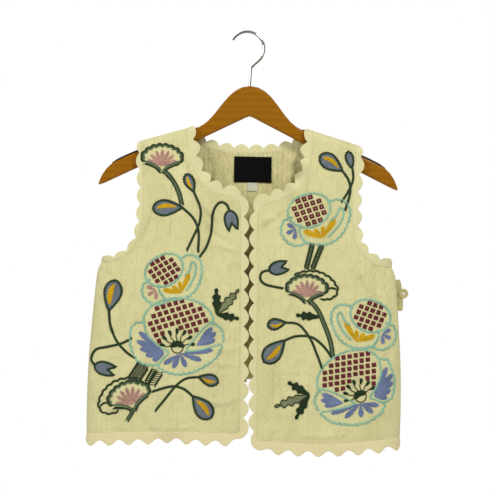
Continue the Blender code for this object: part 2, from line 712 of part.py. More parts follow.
def hanger_hook(collection):
    """The wire hook: a round open to the left, a reverse bend and a straight stem."""
    radius = HOOK_ROUND + WIRE / 2
    centre = Vector((0.0, 0.0, -HOOK_ROUND))
    run = []
    for i in range(HOOK_STEPS + 1):
        angle = math.radians(lerp(HOOK_TIP_DEG, HOOK_TURN_DEG, i / HOOK_STEPS))
        run.append(centre + Vector((math.cos(angle), 0.0, math.sin(angle))) * radius)
    leave = run[-1]
    bend = Vector((STEM_BEND[0], 0.0, STEM_BEND[1]))
    pull = leave + Vector((HOOK_PULL[0], 0.0, HOOK_PULL[1]))
    for share in BEND_SHARES:
        run.append(leave.lerp(pull, share).lerp(pull.lerp(bend, share), share))
    run += [bend, Vector((STEM_X, 0.0, STEM_UPRIGHT)), Vector((STEM_X, 0.0, STEM_FOOT))]
    curve = bpy.data.curves.new("hanger_hook", "CURVE")
    curve.dimensions = "3D"
    curve.bevel_depth = WIRE / 2 * MM
    curve.bevel_resolution = WIRE_ROUNDNESS
    curve.use_fill_caps = True
    spline = curve.splines.new("POLY")
    spline.points.add(len(run) - 1)
    for point, place in zip(spline.points, run):
        point.co = (*(place * MM), 1.0)
    curve.materials.append(material("hanger_hook", "chrome"))
    obj = bpy.data.objects.new("hanger_hook", curve)
    collection.objects.link(obj)
    return obj


def grip_strip(collection, name, side):
    """A thin non-slip strip along the top of one shoulder of the hanger."""
    strip = []
    marks = [(u, z) for u, z in HANGER_TOP if GRIP["start"] <= u <= GRIP["end"]]
    for u, z in marks:
        slope = table_at(HANGER_TOP, u + 1.0) - table_at(HANGER_TOP, u - 1.0)
        normal = Vector((-side * slope, 0.0, 2.0)).normalized()
        spot = Vector((CENTRE_X + side * u, 0.0, z)) + normal * (GRIP["lift"] + GRIP["thick"] / 2)
        strip.append([spot + Vector((0, y * GRIP["half_width"], 0)) for y in (-1, 0, 1)])
    points = [p for row in strip for p in row]
    obj = add_mesh(collection, name, points, grid_faces(strip, 0, False), "rubber")
    add_wall(obj, GRIP["thick"])
    return obj


def build():
    clear_scene()
    collection = new_collection(NAME)
    cutters = new_collection("cutters")
    fronts = {}
    for name, cut, folds in (("right", FRONT_RIGHT, FOLDS_RIGHT), ("left", FRONT_LEFT, FOLDS_LEFT)):
        side = cut["side"]
        placed = [(side * row[0], *row[1:3], side * row[3], *row[4:]) for row in folds]
        fronts[side] = front_grid(cut, placed)
        panel_object(collection, f"front_{name}", [(fronts[side][0], side, -1)])
        front_edging(collection, f"edging_front_{name}", fronts[side], cut)
    backs = {side: back_grid(side) for side in (-1, 1)}
    back = panel_object(collection, "back", [(backs[side][0], side, 1) for side in (-1, 1)])
    back_neck_edging(collection, backs, 1 + LOW_ROWS + MIDDLE_ROWS)
    back_hem_edging(collection, backs)
    for side, name in ((-1, "right"), (1, "left")):
        armhole_edging(collection, f"edging_armhole_{name}", fronts[side], backs[side], side)
    work = bmesh.new()
    work.from_mesh(back.data)
    tree = BVHTree.FromBMesh(work)
    work.free()
    label_object(collection, "neck_label", NECK_LABEL, "black_label", tree)
    label_object(collection, "care_label", CARE_LABEL, "white_label", tree)
    side_tab(collection)
    side_button(collection, cutters)
    hanger_body(collection, cutters)
    hanger_hook(collection)
    for side, name in ((-1, "right"), (1, "left")):
        grip_strip(collection, f"grip_strip_{name}", side)


build()
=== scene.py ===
# %% [markdown]
# # An embroidered waistcoat on a wooden hanger
#
# The waistcoat is cut from a cream cotton with woven stripes, edged with a scalloped
# strip, and embroidered in wool with poppies, buds and leaves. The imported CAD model
# gives the true shape of every cloth piece. This lesson dresses it: finer cloth with
# creases, padded edging, stitches made one by one, and procedural materials.

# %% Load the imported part
import math

import bmesh
import bpy
import numpy as np
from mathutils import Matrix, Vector


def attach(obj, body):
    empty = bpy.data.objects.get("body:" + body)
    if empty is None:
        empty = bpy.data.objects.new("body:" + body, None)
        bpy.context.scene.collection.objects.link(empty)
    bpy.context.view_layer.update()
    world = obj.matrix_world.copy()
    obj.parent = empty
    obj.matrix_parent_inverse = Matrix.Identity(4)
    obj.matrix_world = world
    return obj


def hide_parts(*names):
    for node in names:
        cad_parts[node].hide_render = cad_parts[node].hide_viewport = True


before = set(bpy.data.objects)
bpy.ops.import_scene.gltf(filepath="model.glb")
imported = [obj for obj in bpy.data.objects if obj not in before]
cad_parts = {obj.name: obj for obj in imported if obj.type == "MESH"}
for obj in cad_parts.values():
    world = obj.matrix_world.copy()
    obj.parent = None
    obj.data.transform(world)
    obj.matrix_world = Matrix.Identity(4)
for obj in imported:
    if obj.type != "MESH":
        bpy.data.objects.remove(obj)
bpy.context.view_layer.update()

MM = 0.001

# %% [markdown]
# ## Camera, light and floor
#
# The photograph looks straight at the front from a few metres away, and the hanger
# tips a little to the right, so the camera is rolled by the same small angle. A long
# lens keeps the sides parallel. A white world gives the even light of a product
# photograph, and the camera sees it brighter than the cloth does, so that the
# background is white while the cloth keeps its tone. A key lamp from above on the
# right draws the creases, a fill lamp softens them, and one behind lights the edges.

# %% Camera, light and floor
PHOTO_WIDTH = 0.730            # width of the object's plane that the frame shows
CAMERA_DISTANCE = 2.4
CAMERA_X = 0.0026
CAMERA_Z = -0.3158
CAMERA_ROLL = 1.15             # degrees
SKY_SEEN = 1
SKY_LIGHT = 0.42
FLOOR_Z = -1.25
FLOOR_SIZE = 3
FLOOR_COLOUR = (0.9, 0.9, 0.88, 1)
LAMPS = {                      # place, size in metres and power in watts
    "key": ((0.85, -1.45, 1.15), 0.5, 24),
    "fill": ((-1.5, -1.4, 0.4), 1, 15),
    "behind": ((-0.7, 1.9, 0.7), 1.2, 30),
}


def make_camera():
    data = bpy.data.cameras.new("camera")
    data.lens = data.sensor_width * CAMERA_DISTANCE / PHOTO_WIDTH
    camera = bpy.data.objects.new("camera", data)
    camera.location = (CAMERA_X, -CAMERA_DISTANCE, CAMERA_Z)
    camera.rotation_euler = (math.radians(90), math.radians(-CAMERA_ROLL), 0)
    bpy.context.scene.collection.objects.link(camera)
    bpy.context.scene.camera = camera


def make_world():
    world = bpy.data.worlds.new("studio")
    world.use_nodes = True
    bpy.context.scene.world = world
    tree = world.node_tree
    light = tree.nodes["Background"]
    seen = tree.nodes.new("ShaderNodeBackground")
    for sky, strength in ((light, SKY_LIGHT), (seen, SKY_SEEN)):
        sky.inputs["Strength"].default_value = strength
        sky.inputs["Color"].default_value = (1, 1, 1, 1)
    rays = tree.nodes.new("ShaderNodeLightPath")
    mix = tree.nodes.new("ShaderNodeMixShader")
    tree.links.new(rays.outputs["Is Camera Ray"], mix.inputs[0])
    tree.links.new(light.outputs[0], mix.inputs[1])
    tree.links.new(seen.outputs[0], mix.inputs[2])
    tree.links.new(mix.outputs[0], tree.nodes["World Output"].inputs[0])


def make_light(name, place, size, power):
    data = bpy.data.lights.new(name, "AREA")
    data.size = size
    data.energy = power
    lamp = bpy.data.objects.new(name, data)
    lamp.location = place
    aim = Vector((CAMERA_X, 0, CAMERA_Z)) - Vector(place)
    lamp.rotation_euler = aim.to_track_quat("-Z", "Y").to_euler()
    bpy.context.scene.collection.objects.link(lamp)


def make_floor():
    half = FLOOR_SIZE / 2
    mesh = bpy.data.meshes.new("floor")
    corners = [(-half, -half, 0), (half, -half, 0), (half, half, 0), (-half, half, 0)]
    mesh.from_pydata(corners, [], [(0, 1, 2, 3)])
    floor = bpy.data.objects.new("floor", mesh)
    floor.location.z = FLOOR_Z
    paint = bpy.data.materials.new("pale_floor")
    paint.use_nodes = True
    paint.node_tree.nodes["Principled BSDF"].inputs["Base Color"].default_value = FLOOR_COLOUR
    mesh.materials.append(paint)
    bpy.context.scene.collection.objects.link(floor)


make_camera()
make_world()
for lamp_name, lamp_values in LAMPS.items():
    make_light(lamp_name, *lamp_values)
make_floor()
bpy.context.scene.view_settings.view_transform = "Standard"
print("lamps", *LAMPS)

# %% [markdown]
# ## The pattern pieces
#
# A waistcoat is flat pattern pieces joined at the sides and shoulders. Each piece is
# described by its edges, as half widths from the garment's centre line and heights
# below the top of the hanger's hook, in millimetres. A smooth curve through a few
# points is closer to a tailor's curve than straight runs, and far shorter than a
# list of every point.

# %% The pattern pieces
CENTRE_X = 5.5
SIDE_SEAM = [
    (-345.5, 215.5), (-354, 219.4), (-366, 222), (-400, 225), (-440, 228.2),
    (-480, 231), (-520, 232.5), (-566, 233), (-600, 232.5),
]
ARMHOLE = [
    (215.5, -345.5), (206.5, -344.6), (192, -341.6), (175, -331), (163, -315),
    (156.6, -291), (155, -265), (154.8, -238), (156.2, -210), (158.2, -185.5), (159, -163.9),
]
SHOULDER = [(60, -134), (93, -144.2), (125, -153.7), (142, -158.7), (159, -163.9)]
NECK_RIGHT = [
    (10.6, -266), (12.8, -252.5), (22.5, -246.5), (39, -243),
    (62, -232.5), (77, -213), (86.5, -189), (91.5, -163), (93, -144.2),
]
NECK_LEFT = [
    (15.4, -275), (18, -262.5), (27, -255.5), (42, -251),
    (63.5, -241), (80, -226), (90, -202), (94, -176), (95, -144.8),
]
NECK_BACK = [(0, -179.2), (30, -177.8), (55, -173.4), (76, -164.6), (89, -153.8), (94, -144.5)]
FRONT_RIGHT = {"side": -1, "neck": NECK_RIGHT, "low": 4.6, "hem": (-594.5, -593, -599)}
FRONT_LEFT = {"side": 1, "neck": NECK_LEFT, "low": 20.4, "hem": (-604.5, -606, -595.5)}
BACK_HEM = {-1: (-503, -541, -599), 1: (-503, -541, -595.5)}
SPLIT_Z = -322
HEM_CORNER = 8


def smooth_run(points, pieces=12):
    """Points along a smooth curve through the given ones."""
    p = np.array(points, float)
    ends = np.vstack([2 * p[0] - p[1], p, 2 * p[-1] - p[-2]])
    t = np.arange(pieces)[:, None] / pieces
    parts = []
    for a, b, c, d in zip(ends, ends[1:], ends[2:], ends[3:]):
        bend = 2 * a - 5 * b + 4 * c - d
        parts.append(0.5 * (2 * b + (c - a) * t + bend * t ** 2 + (3 * b - a - 3 * c + d) * t ** 3))
    return np.vstack([*parts, p[-1:]])


def lengths_along(run):
    return np.concatenate([[0], np.cumsum(np.linalg.norm(np.diff(run, axis=0), axis=1))])


def at_distance(run, marks):
    """Points of a run at distances from its start."""
    lengths = lengths_along(run)
    return np.stack([np.interp(marks, lengths, run[:, k]) for k in range(run.shape[1])], axis=-1)


def unit(vectors):
    return vectors / np.linalg.norm(vectors, axis=-1, keepdims=True)


def left_of(ahead):
    """Unit directions a quarter turn to the left of the given ones."""
    return unit(np.stack([-ahead[..., 1], ahead[..., 0]], axis=-1))


def turning(angle):
    """The matrix that turns rows of points by an angle in radians."""
    c, s = math.cos(angle), math.sin(angle)
    return np.array([[c, s], [-s, c]])


SIDE_RUN = smooth_run([(width, z) for z, width in reversed(SIDE_SEAM)])
UNDERARM_Z, UNDERARM_WIDTH = SIDE_SEAM[0]
SHOULDER_W, SHOULDER_Z = np.array(SHOULDER).T
SHOULDER_SLOPE = (SHOULDER_Z[-1] - SHOULDER_Z[-2]) / (SHOULDER_W[-1] - SHOULDER_W[-2])


def side_width(z):
    """Half width of the flat garment at a height."""
    return np.interp(z, SIDE_RUN[:, 1], SIDE_RUN[:, 0])


def to_side(w, z):
    """Distance from a half width to the side seam, or to its line carried up from the underarm."""
    return np.maximum(np.where(z > UNDERARM_Z, UNDERARM_WIDTH, side_width(z)) - w, 0)


def shoulder_z(w):
    """Height of the shoulder seam at a half width."""
    past = np.maximum(0, w - SHOULDER_W[-1])
    return np.interp(w, SHOULDER_W, SHOULDER_Z) + past * SHOULDER_SLOPE


print("half width at the underarm and hem", UNDERARM_WIDTH, SIDE_SEAM[-1][1])

# %% [markdown]
# ## How the cloth hangs
#
# An empty waistcoat on a hanger is two layers that nearly touch: they part by a few
# centimetres over the chest, fold round at the side seams, and bend sharply over the
# hanger at the shoulders. Creases are laid in one by one as soft troughs and ridges of
# uneven length, depth and spacing. A cloth simulation could find them too, but it
# would move the cloth away from the photograph's outline.

# %% How the cloth hangs
SEAM_HALF = 0.05               # half of the gap between front and back at the side seam
CHEST_DEPTH = 17
HEM_DEPTH = 21
CHEST_Z = -200
HEM_Z = -560
SIDE_ROUND = 42
RIDGE_DEPTH = 12
RIDGE_HEIGHT = 9
RIDGE_BLEND = 110
FOLD_ONSET = 2.5               # a long fold is at its full depth after 1 / 2.5 of its length
CREASE_SCALE = 4.6
CREASE_BOW = 0.12
CREASE_REACH = 1.3             # a crease fades out at this share of its half length
CREASE_TAPER = 0.3
CREASE_ONSET = 30              # creases fade in over this length below the hanger
SLOPE_STEP = 0.1               # distance over which the slopes of the cloth are measured
# Long soft folds: (half width or offset, top, bottom, lean, spread, depth)
FOLDS_RIGHT = [
    (-40, -300, -590, -8, 18, 1.8), (-96, -360, -600, 6, 22, -2.2),
    (-150, -250, -560, -10, 20, 1.6),
]
FOLDS_LEFT = [
    (52, -290, -560, -8, 20, -1.8), (105, -380, -605, 6, 20, 2.2),
    (146, -240, -520, -8, 20, 1.6),
]
FOLDS_BACK = [
    (-150, -380, -600, 8, 24, 2.4), (-70, -260, -520, -6, 22, -1.8),
    (20, -320, -510, 8, 26, 2), (95, -300, -560, 6, 22, -2.2),
    (160, -400, -600, -6, 20, 2.2),
]
# Short creases: (across, height, direction in degrees, half length, half width, depth)
CREASES_RIGHT = [
    (-62, -258, -52, 34, 4, 0.9), (-50, -300, -38, 30, 5, -0.7),
    (-34, -318, -24, 20, 3, 0.5), (-200, -392, 78, 40, 4.5, 0.9),
    (-186, -438, 62, 26, 4, -0.6), (-26, -470, 8, 22, 3, 0.6),
    (-30, -492, -6, 18, 2.6, 0.5), (-32, -548, 12, 26, 3.4, 0.6),
    (-120, -240, 84, 30, 3.6, 0.6), (-150, -300, 70, 34, 4, -0.7),
    (-196, -560, 4, 24, 3.2, 0.6), (-104, -588, 3, 34, 3, 0.5),
    (-84, -204, -70, 26, 3.4, 0.7),
]
CREASES_LEFT = [
    (38, -272, 34, 30, 4.4, 1), (52, -262, 46, 34, 4, -0.7),
    (34, -330, 86, 46, 4.6, 0.7), (46, -520, 88, 44, 5, -0.7),
    (66, -576, 84, 26, 4, 0.7), (84, -220, 80, 34, 3.6, 0.8),
    (178, -366, -64, 30, 4, 0.9), (196, -392, -76, 32, 4.2, -0.7),
    (150, -300, 78, 30, 3.6, 0.6), (116, -330, 82, 38, 4.4, -0.6),
    (210, -556, 12, 20, 3.4, 0.6), (110, -594, -2, 40, 3, 0.5),
    (62, -402, 70, 34, 4, 0.6),
]
CREASES_BACK = [
    (-170, -372, 66, 36, 5, 1), (-120, -300, 80, 50, 5, -0.8),
    (-58, -226, 84, 40, 4, 0.7), (36, -232, -82, 44, 4.4, 0.8),
    (64, -210, 80, 30, 3.6, -0.7), (120, -330, -74, 46, 5, 0.9),
    (176, -380, -62, 34, 4.4, 1), (-20, -420, 88, 50, 5.4, -0.8),
    (66, -470, 82, 36, 4.6, 0.8), (-90, -500, -84, 34, 4.4, 0.8),
    (0, -300, 86, 44, 4.8, 0.7), (-150, -540, 6, 30, 3.6, 0.7),
]


def soft_step(value):
    value = np.clip(value, 0, 1)
    return value * value * (3 - 2 * value)


def quarter_round(distance, size):
    """Rise of a quarter ellipse from 0 at its end to 1 where it is flat."""
    left = 1 - np.clip(distance, 0, size) / size
    return np.sqrt(np.maximum(0, 1 - left * left))


def long_folds(u, z, folds):
    moved = 0
    for across, top, bottom, lean, spread, deep in folds:
        down = (top - z) / (top - bottom)
        away = (u - across - lean * down) / spread
        moved = moved + deep * np.exp(-away * away) * soft_step(down * FOLD_ONSET)
    return moved


def short_creases(u, z, creases):
    moved = 0
    for across, height, angle, half, width, deep in creases:
        c, s = math.cos(math.radians(angle)), math.sin(math.radians(angle))
        run = ((u - across) * c + (z - height) * s) / half
        bow = CREASE_BOW * half * (run * run - 0.3)
        spread = width * (CREASE_REACH - CREASE_TAPER * run)
        away = (-(u - across) * s + (z - height) * c - bow) / spread
        moved = moved + CREASE_SCALE * deep * np.exp(-away * away) * soft_step(CREASE_REACH - np.abs(run))
    return moved


def depth(u, z, edge, fall, hang):
    """Distance of the cloth's middle from the garment's middle plane.

    The edge is the distance from the side seam, and the fall that from the shoulder's.
    """
    folds, creases = hang
    full = CHEST_DEPTH + (HEM_DEPTH - CHEST_DEPTH) * soft_step((CHEST_Z - z) / (CHEST_Z - HEM_Z))
    side = full * quarter_round(edge, SIDE_ROUND)
    ridge = RIDGE_DEPTH * quarter_round(fall, RIDGE_HEIGHT)
    opened = soft_step((fall - RIDGE_HEIGHT) / RIDGE_BLEND)
    shape = np.minimum(ridge, side) * (1 - opened) + side * opened
    calm = soft_step(edge / SIDE_ROUND)
    shape = shape + long_folds(u, z, folds) * calm * opened
    return shape + short_creases(u, z, creases) * calm * soft_step((fall - RIDGE_HEIGHT) / CREASE_ONSET)


def on_seam(points):
    """True for points on the garment's middle plane, where front and back meet."""
    return np.abs(points[..., 1]) < 2 * SEAM_HALF


def cloth_directions(points, w, z, edge, fall, hang, side, facing):
    """Directions out of the cloth, from the slopes of its depth."""
    step = SLOPE_STEP
    edge, fall = np.maximum(edge, 5 * step), np.maximum(fall, 5 * step)
    drop = (shoulder_z(w + step) - shoulder_z(w - step)) / 2
    wider = depth(side * (w + step), z, edge - step, fall + drop, hang)
    narrower = depth(side * (w - step), z, edge + step, fall - drop, hang)
    higher = depth(side * w, z + step, edge, fall - step, hang)
    lower = depth(side * w, z - step, edge, fall + step, hang)
    out = np.stack([side * (narrower - wider), facing * 2 * step + 0 * w, lower - higher], axis=-1)
    out[on_seam(points), 1] = 0
    return unit(out)


HANGS = {
    "front_right": (FOLDS_RIGHT, CREASES_RIGHT), "front_left": (FOLDS_LEFT, CREASES_LEFT),
    "back": (FOLDS_BACK, CREASES_BACK),
}
print("creases laid by hand", sum(len(creases) for _, creases in HANGS.values()))

# %% [markdown]
# ## Cloth panels
#
# Each panel is a grid of points: rows run from the hem to the shoulder, and each row
# from the centre edge or neck to the side seam or armhole. The rows crowd where the
# cloth bends, over the hanger and round the sides. The Solidify modifier then gives
# the single sheet its thickness, which is quicker and cleaner than two sheets with
# a rim between them.

# %% Cloth panels
CLOTH = 1.7
CORNER_ROWS = 7
LOW_ROWS = 96
MIDDLE_ROWS = 30
HIGH_ROWS = 50
UNDERARM_ROW = CORNER_ROWS + LOW_ROWS - 1
FLAT_COLUMNS = 84
MIDDLE_ARMHOLE = {-1: 62, 1: 112}
BEND_ANGLES = np.radians([0, 7, 14, 21, 28, 35, 43, 51, 60, 70, 80, 90])
WELD = 0.01                    # points of the back's two halves nearer than this become one


def bend_falls(size):
    """Distances from a seam to the rows or columns that round a bend of this size."""
    return size * (1 - np.cos(BEND_ANGLES))


def row_marks(total, first, split, corner):
    """Distances along an edge at which the rows end, from hem to shoulder."""
    last = total - RIDGE_HEIGHT
    turned = first * (1 - np.cos(np.linspace(0, math.pi / 2, CORNER_ROWS)))
    low = np.linspace(first, split, LOW_ROWS + 1)[1:]
    middle = np.linspace(split, corner, MIDDLE_ROWS + 1)[1:]
    high = np.linspace(corner, last, HIGH_ROWS + 1)[1:-1]
    return np.concatenate([turned, low, middle, high, total - bend_falls(RIDGE_HEIGHT)[::-1]])


def length_at_height(run, z):
    """Length of a run up to the first point at or above a height."""
    return lengths_along(run)[np.argmax(run[:, 1] >= z)]


def outer_ends(middle):
    """Points of the side seam and armhole that the rows reach."""
    run = np.vstack([SIDE_RUN, smooth_run(ARMHOLE)[1:]])
    underarm = lengths_along(SIDE_RUN)[-1]
    total = lengths_along(run)[-1]
    return at_distance(run, row_marks(total, HEM_CORNER, underarm, underarm + middle))


def panel(inner, outer, hem, side, facing, hang):
    """Points, outward directions and half widths of a panel's grid."""
    width = np.linalg.norm(outer - inner, axis=1)[:, None]
    round_side = bend_falls(SIDE_ROUND)[::-1]
    share = np.linspace(0, 1, FLAT_COLUMNS + 1)[None, :-1] * (width - SIDE_ROUND) / width
    share = np.hstack([share, 1 - round_side[None, :] / width])
    w = inner[:, :1] + (outer[:, :1] - inner[:, :1]) * share
    z = inner[:, 1:] + (outer[:, 1:] - inner[:, 1:]) * share
    centre, middle, end = hem
    bow = middle - (centre + end) / 2
    wanted = centre + (end - centre) * share + bow * np.sin(math.pi * share)
    rise = np.clip((z[:, :1] - centre) / (SPLIT_Z - centre), 0, 1)
    z = z + (wanted - (centre + (outer[0, 1] - centre) * share)) * (1 - rise) ** 2
    fall = shoulder_z(w) - z
    tops = len(BEND_ANGLES)
    fall[-tops:] = bend_falls(RIDGE_HEIGHT)[::-1, None]
    z[-tops:] = shoulder_z(w[-tops:]) - fall[-tops:]
    edge = to_side(w, z)
    edge[: UNDERARM_ROW + 1, -1] = 0
    y = facing * (SEAM_HALF + depth(side * w, z, edge, fall, hang))
    points = np.stack([CENTRE_X + side * w, y, z], axis=-1)
    return points, cloth_directions(points, w, z, edge, fall, hang, side, facing)


def inner_ends(low, hem_z, neck, corner_z):
    """Points of the centre edge and neck that the rows reach."""
    run = np.vstack([[low, hem_z], smooth_run(neck)])
    corner = length_at_height(run, corner_z)
    return at_distance(run, row_marks(lengths_along(run)[-1], HEM_CORNER, SPLIT_Z - hem_z, corner))


def front_panel(cut, hang):
    neck, hem = cut["neck"], cut["hem"]
    inner = inner_ends(cut["low"], hem[0], neck, neck[1][1])
    short = HEM_CORNER - np.clip(inner[:, 1] - hem[0], 0, HEM_CORNER)
    inner[:, 0] += HEM_CORNER - np.sqrt(HEM_CORNER ** 2 - short ** 2)
    return panel(inner, outer_ends(MIDDLE_ARMHOLE[-1]), hem, cut["side"], -1, hang)


def back_half(side):
    hem = BACK_HEM[side]
    inner = inner_ends(0, hem[0], NECK_BACK, NECK_BACK[0][1])
    return panel(inner, outer_ends(MIDDLE_ARMHOLE[1]), hem, side, 1, HANGS["back"])


def grid_faces(rows, columns, first=0, ring=False, tube=False):
    """Corner numbers of a grid's quads. A ring joins the last row to the first, a tube the columns."""
    row = np.arange(rows if ring else rows - 1)[:, None]
    column = np.arange(columns if tube else columns - 1)
    after, beside = (row + 1) % rows, (column + 1) % columns
    corners = [
        row * columns + column, row * columns + beside, after * columns + beside, after * columns + column,
    ]
    return first + np.stack(corners, axis=-1).reshape(-1, 4)


def mesh_object(name, points, faces):
    """A smooth mesh object that rides on the garment, from points in millimetres."""
    mesh = bpy.data.meshes.new(name)
    corners = faces.tolist() if isinstance(faces, np.ndarray) else faces
    mesh.from_pydata((np.asarray(points) * MM).tolist(), [], corners)
    mesh.update()
    mesh.shade_smooth()
    obj = bpy.data.objects.new(name, mesh)
    bpy.context.scene.collection.objects.link(obj)
    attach(obj, "root")
    return obj


def rework(obj, change):
    """Changes an object's mesh by one mesh operation."""
    work = bmesh.new()
    work.from_mesh(obj.data)
    change(work)
    work.to_mesh(obj.data)
    work.free()


def join_centre(obj):
    rework(obj, lambda work: bmesh.ops.remove_doubles(work, verts=work.verts, dist=WELD * MM))


def face_outwards(obj):
    rework(obj, lambda work: bmesh.ops.recalc_face_normals(work, faces=work.faces))


def solid_strip(name, loops, ring=False):
    """A solid from loops of points side by side, with a cap at each end unless they form a ring."""
    count, around, _ = loops.shape
    faces = grid_faces(count, around, ring=ring, tube=True).tolist()
    if not ring:
        faces += [tuple(reversed(range(around))), tuple(range((count - 1) * around, count * around))]
    obj = mesh_object(name, loops.reshape(-1, 3), faces)
    face_outwards(obj)
    return obj


def thicken(obj, thickness):
    """Gives a single sheet its wall, half to each side."""
    wall = obj.modifiers.new("cloth", "SOLIDIFY")
    wall.thickness = thickness * MM
    wall.offset = 0


def even_shading(obj):
    """Lets large faces set the shading, so that a thin rim doesn't darken the cloth beside it."""
    obj.modifiers.new("shading", "WEIGHTED_NORMAL").mode = "FACE_AREA"


def cloth_shell(name, grids):
    """One cloth piece from a grid, or from two that share the centre line."""
    points, faces = [], []
    for (grid, _), flip in grids:
        rows, columns, _ = grid.shape
        made = grid_faces(rows, columns, sum(len(p) for p in points))
        faces.append(made[:, ::-1] if flip else made)
        points.append(grid.reshape(-1, 3))
    obj = mesh_object(name, np.vstack(points), np.vstack(faces))
    if len(grids) > 1:
        join_centre(obj)
    thicken(obj, CLOTH)
    even_shading(obj)
    return obj


right = front_panel(FRONT_RIGHT, HANGS["front_right"])
left = front_panel(FRONT_LEFT, HANGS["front_left"])
backs = {side: back_half(side) for side in (-1, 1)}
cloth_right = cloth_shell("cloth_front_right", [(right, False)])
cloth_left = cloth_shell("cloth_front_left", [(left, True)])
cloth_back = cloth_shell("cloth_back", [(backs[-1], True), (backs[1], False)])
print("panel points", [len(obj.data.vertices) for obj in (cloth_right, cloth_left, cloth_back)])

# %% [markdown]
# ## Scalloped edging
#
# Every open edge is bound with a strip cut in scallops and folded double. It is caught
# in the seam between the cloth and its lining, so it goes on from the panel's edge
# without a step, and its rim is a soft fold, not a cut. A grid of sections along the
# edge, each a thin loop that closes at the rim, gives that roundness without a bevel.

# %% Scalloped edging
EDGING = 1.5
TUCK = -0.02
LEAN = 0.12                    # how far the strip leans out of the cloth's plane, for each millimetre
END_GAP = 0.2
EDGE_HEM = (11.5, 8)
EDGE_CENTRE = (5, 7.8)
EDGE_NECK = (10, 8)
EDGE_BACK_NECK = (7.5, 6.5)
EDGE_ARMHOLE = {-1: (4, 5.5), 1: (7.5, 6.5)}
EDGE_SHOULDER = 6
EDGE_ON_RIDGE = 0.8
RIDGE_REACH = 16
EDGE_BLEND = 24
SCALLOP = {"hem": 28, "centre": 27, "neck": 25.5, "armhole": 25, "back_neck": 22}
NOTCH_Z = {-1: -490, 1: -481}
SCALLOP_STEPS = 18
LOBE_POWER = 0.45
TIP_POWER = 1.1
# Half of the strip's section: (share of the width from the tuck to the rim, share of the thickness)
SECTION = np.array([
    (0, 1.06), (0.3, 0.98), (0.5, 0.92), (0.68, 0.95), (0.82, 1), (0.92, 0.85), (0.98, 0.5),
])


def edge_path(grid, cells, turn):
    """Points of a panel's edge, and the directions out of the cloth and past its edge."""
    points, normals = grid
    rows, columns = np.array(cells).T
    spots, up = points[rows, columns], normals[rows, columns]
    run = np.gradient(spots, axis=0)
    run[on_seam(spots)] *= (0, 1, 0)
    return spots, up, unit(np.cross(run, up) * turn)


def joined(first, second, skip=0):
    return tuple(np.vstack([a, b[skip:]]) for a, b in zip(first, second))


def backwards(path):
    return tuple(values[::-1] for values in path)


def scallops(start, end, period, power=LOBE_POWER):
    """Distances along an edge, and the share of a scallop's height at each."""
    count = max(1, round(abs(end - start) / period))
    share = np.arange(count * SCALLOP_STEPS) / SCALLOP_STEPS
    lobe = (0.5 - 0.5 * np.cos(2 * math.pi * share)) ** power
    return np.stack([start + (end - start) * share / count, lobe], axis=1)


def whole_row(path, period, power=LOBE_POWER):
    """Length of a path, and the scallops along all of it with a notch at its end."""
    total = lengths_along(path[0])[-1]
    return total, np.vstack([scallops(0, total, period, power), [[total, 0]]])


def blend_sizes(distance, sections):
    """Notch widths and scallop heights that pass softly from one section to the next."""
    sizes = np.array(sections[0][1]) + 0 * distance[:, None]
    for start, wanted in sections[1:]:
        share = soft_step((distance - start) / EDGE_BLEND + 0.5)[:, None]
        sizes = sizes + (np.array(wanted) - sizes) * share
    return sizes[:, 0], sizes[:, 1]


def edging_strip(name, path, marks, sections, closed=False):
    lengths = lengths_along(path[0])
    distance, lobe = marks.T
    notch, height = blend_sizes(distance, sections)
    width = notch + height * lobe
    if not closed:
        distance = np.clip(distance, END_GAP, lengths[-1] - END_GAP)
    spot, up, out = (
        np.stack([np.interp(distance, lengths, values[:, k]) for k in range(3)], axis=1) for values in path
    )
    share = np.concatenate([SECTION[:, 0], [1], SECTION[::-1, 0]])
    thick = np.concatenate([SECTION[:, 1], [0], -SECTION[::-1, 1]]) * EDGING / 2
    across = -TUCK + (TUCK + width[:, None]) * share
    behind = -LEAN * np.maximum(across, 0) - thick
    loops = spot[:, None] + out[:, None] * across[..., None] - up[:, None] * behind[..., None]
    obj = solid_strip(name, loops, closed)
    even_shading(obj)
    return obj


def front_edging(name, grid, cut):
    """Edging of the neck, centre edge and hem of one front, in one strip."""
    rows, columns, _ = grid[0].shape
    cells = [(r, 0) for r in range(rows - 1, 0, -1)] + [(0, c) for c in range(columns)]
    path = edge_path(grid, cells, cut["side"])
    spots, lengths = path[0], lengths_along(path[0])
    neck_corner = lengths[np.argmax(spots[:, 2] <= cut["neck"][1][1])]
    corner = lengths[rows - 1]
    anchor = lengths[np.argmax(spots[:, 2] <= NOTCH_Z[cut["side"]])]
    period = SCALLOP["centre"]
    top_notch = anchor - period * ((anchor - neck_corner) // period)
    low_notch = anchor + period * ((corner - anchor) // period)
    marks = np.vstack([
        scallops(0, top_notch, SCALLOP["neck"]), scallops(top_notch, low_notch, period),
        scallops(low_notch, lengths[-1], SCALLOP["hem"], TIP_POWER), [[lengths[-1], 0]],
    ])
    sections = [
        (0, (EDGE_SHOULDER, EDGE_NECK[1])), (EDGE_BLEND, EDGE_NECK),
        (neck_corner, EDGE_CENTRE), (corner, EDGE_HEM),
    ]
    return edging_strip(name, path, marks, sections)


def across_back(cells, turn):
    """Edge of the back from the wearer's right to the wearer's left."""
    return joined(backwards(edge_path(backs[-1], cells, -turn)), edge_path(backs[1], cells, turn), 1)


def back_neck_edging():
    path = across_back([(r, 0) for r in range(UNDERARM_ROW + MIDDLE_ROWS, backs[1][0].shape[0])], 1)
    total, marks = whole_row(path, SCALLOP["back_neck"])
    shoulder = (EDGE_SHOULDER, EDGE_BACK_NECK[1])
    sections = [(0, shoulder), (EDGE_BLEND, EDGE_BACK_NECK), (total - EDGE_BLEND, shoulder)]
    return edging_strip("edging_strip_back_neck", path, marks, sections)


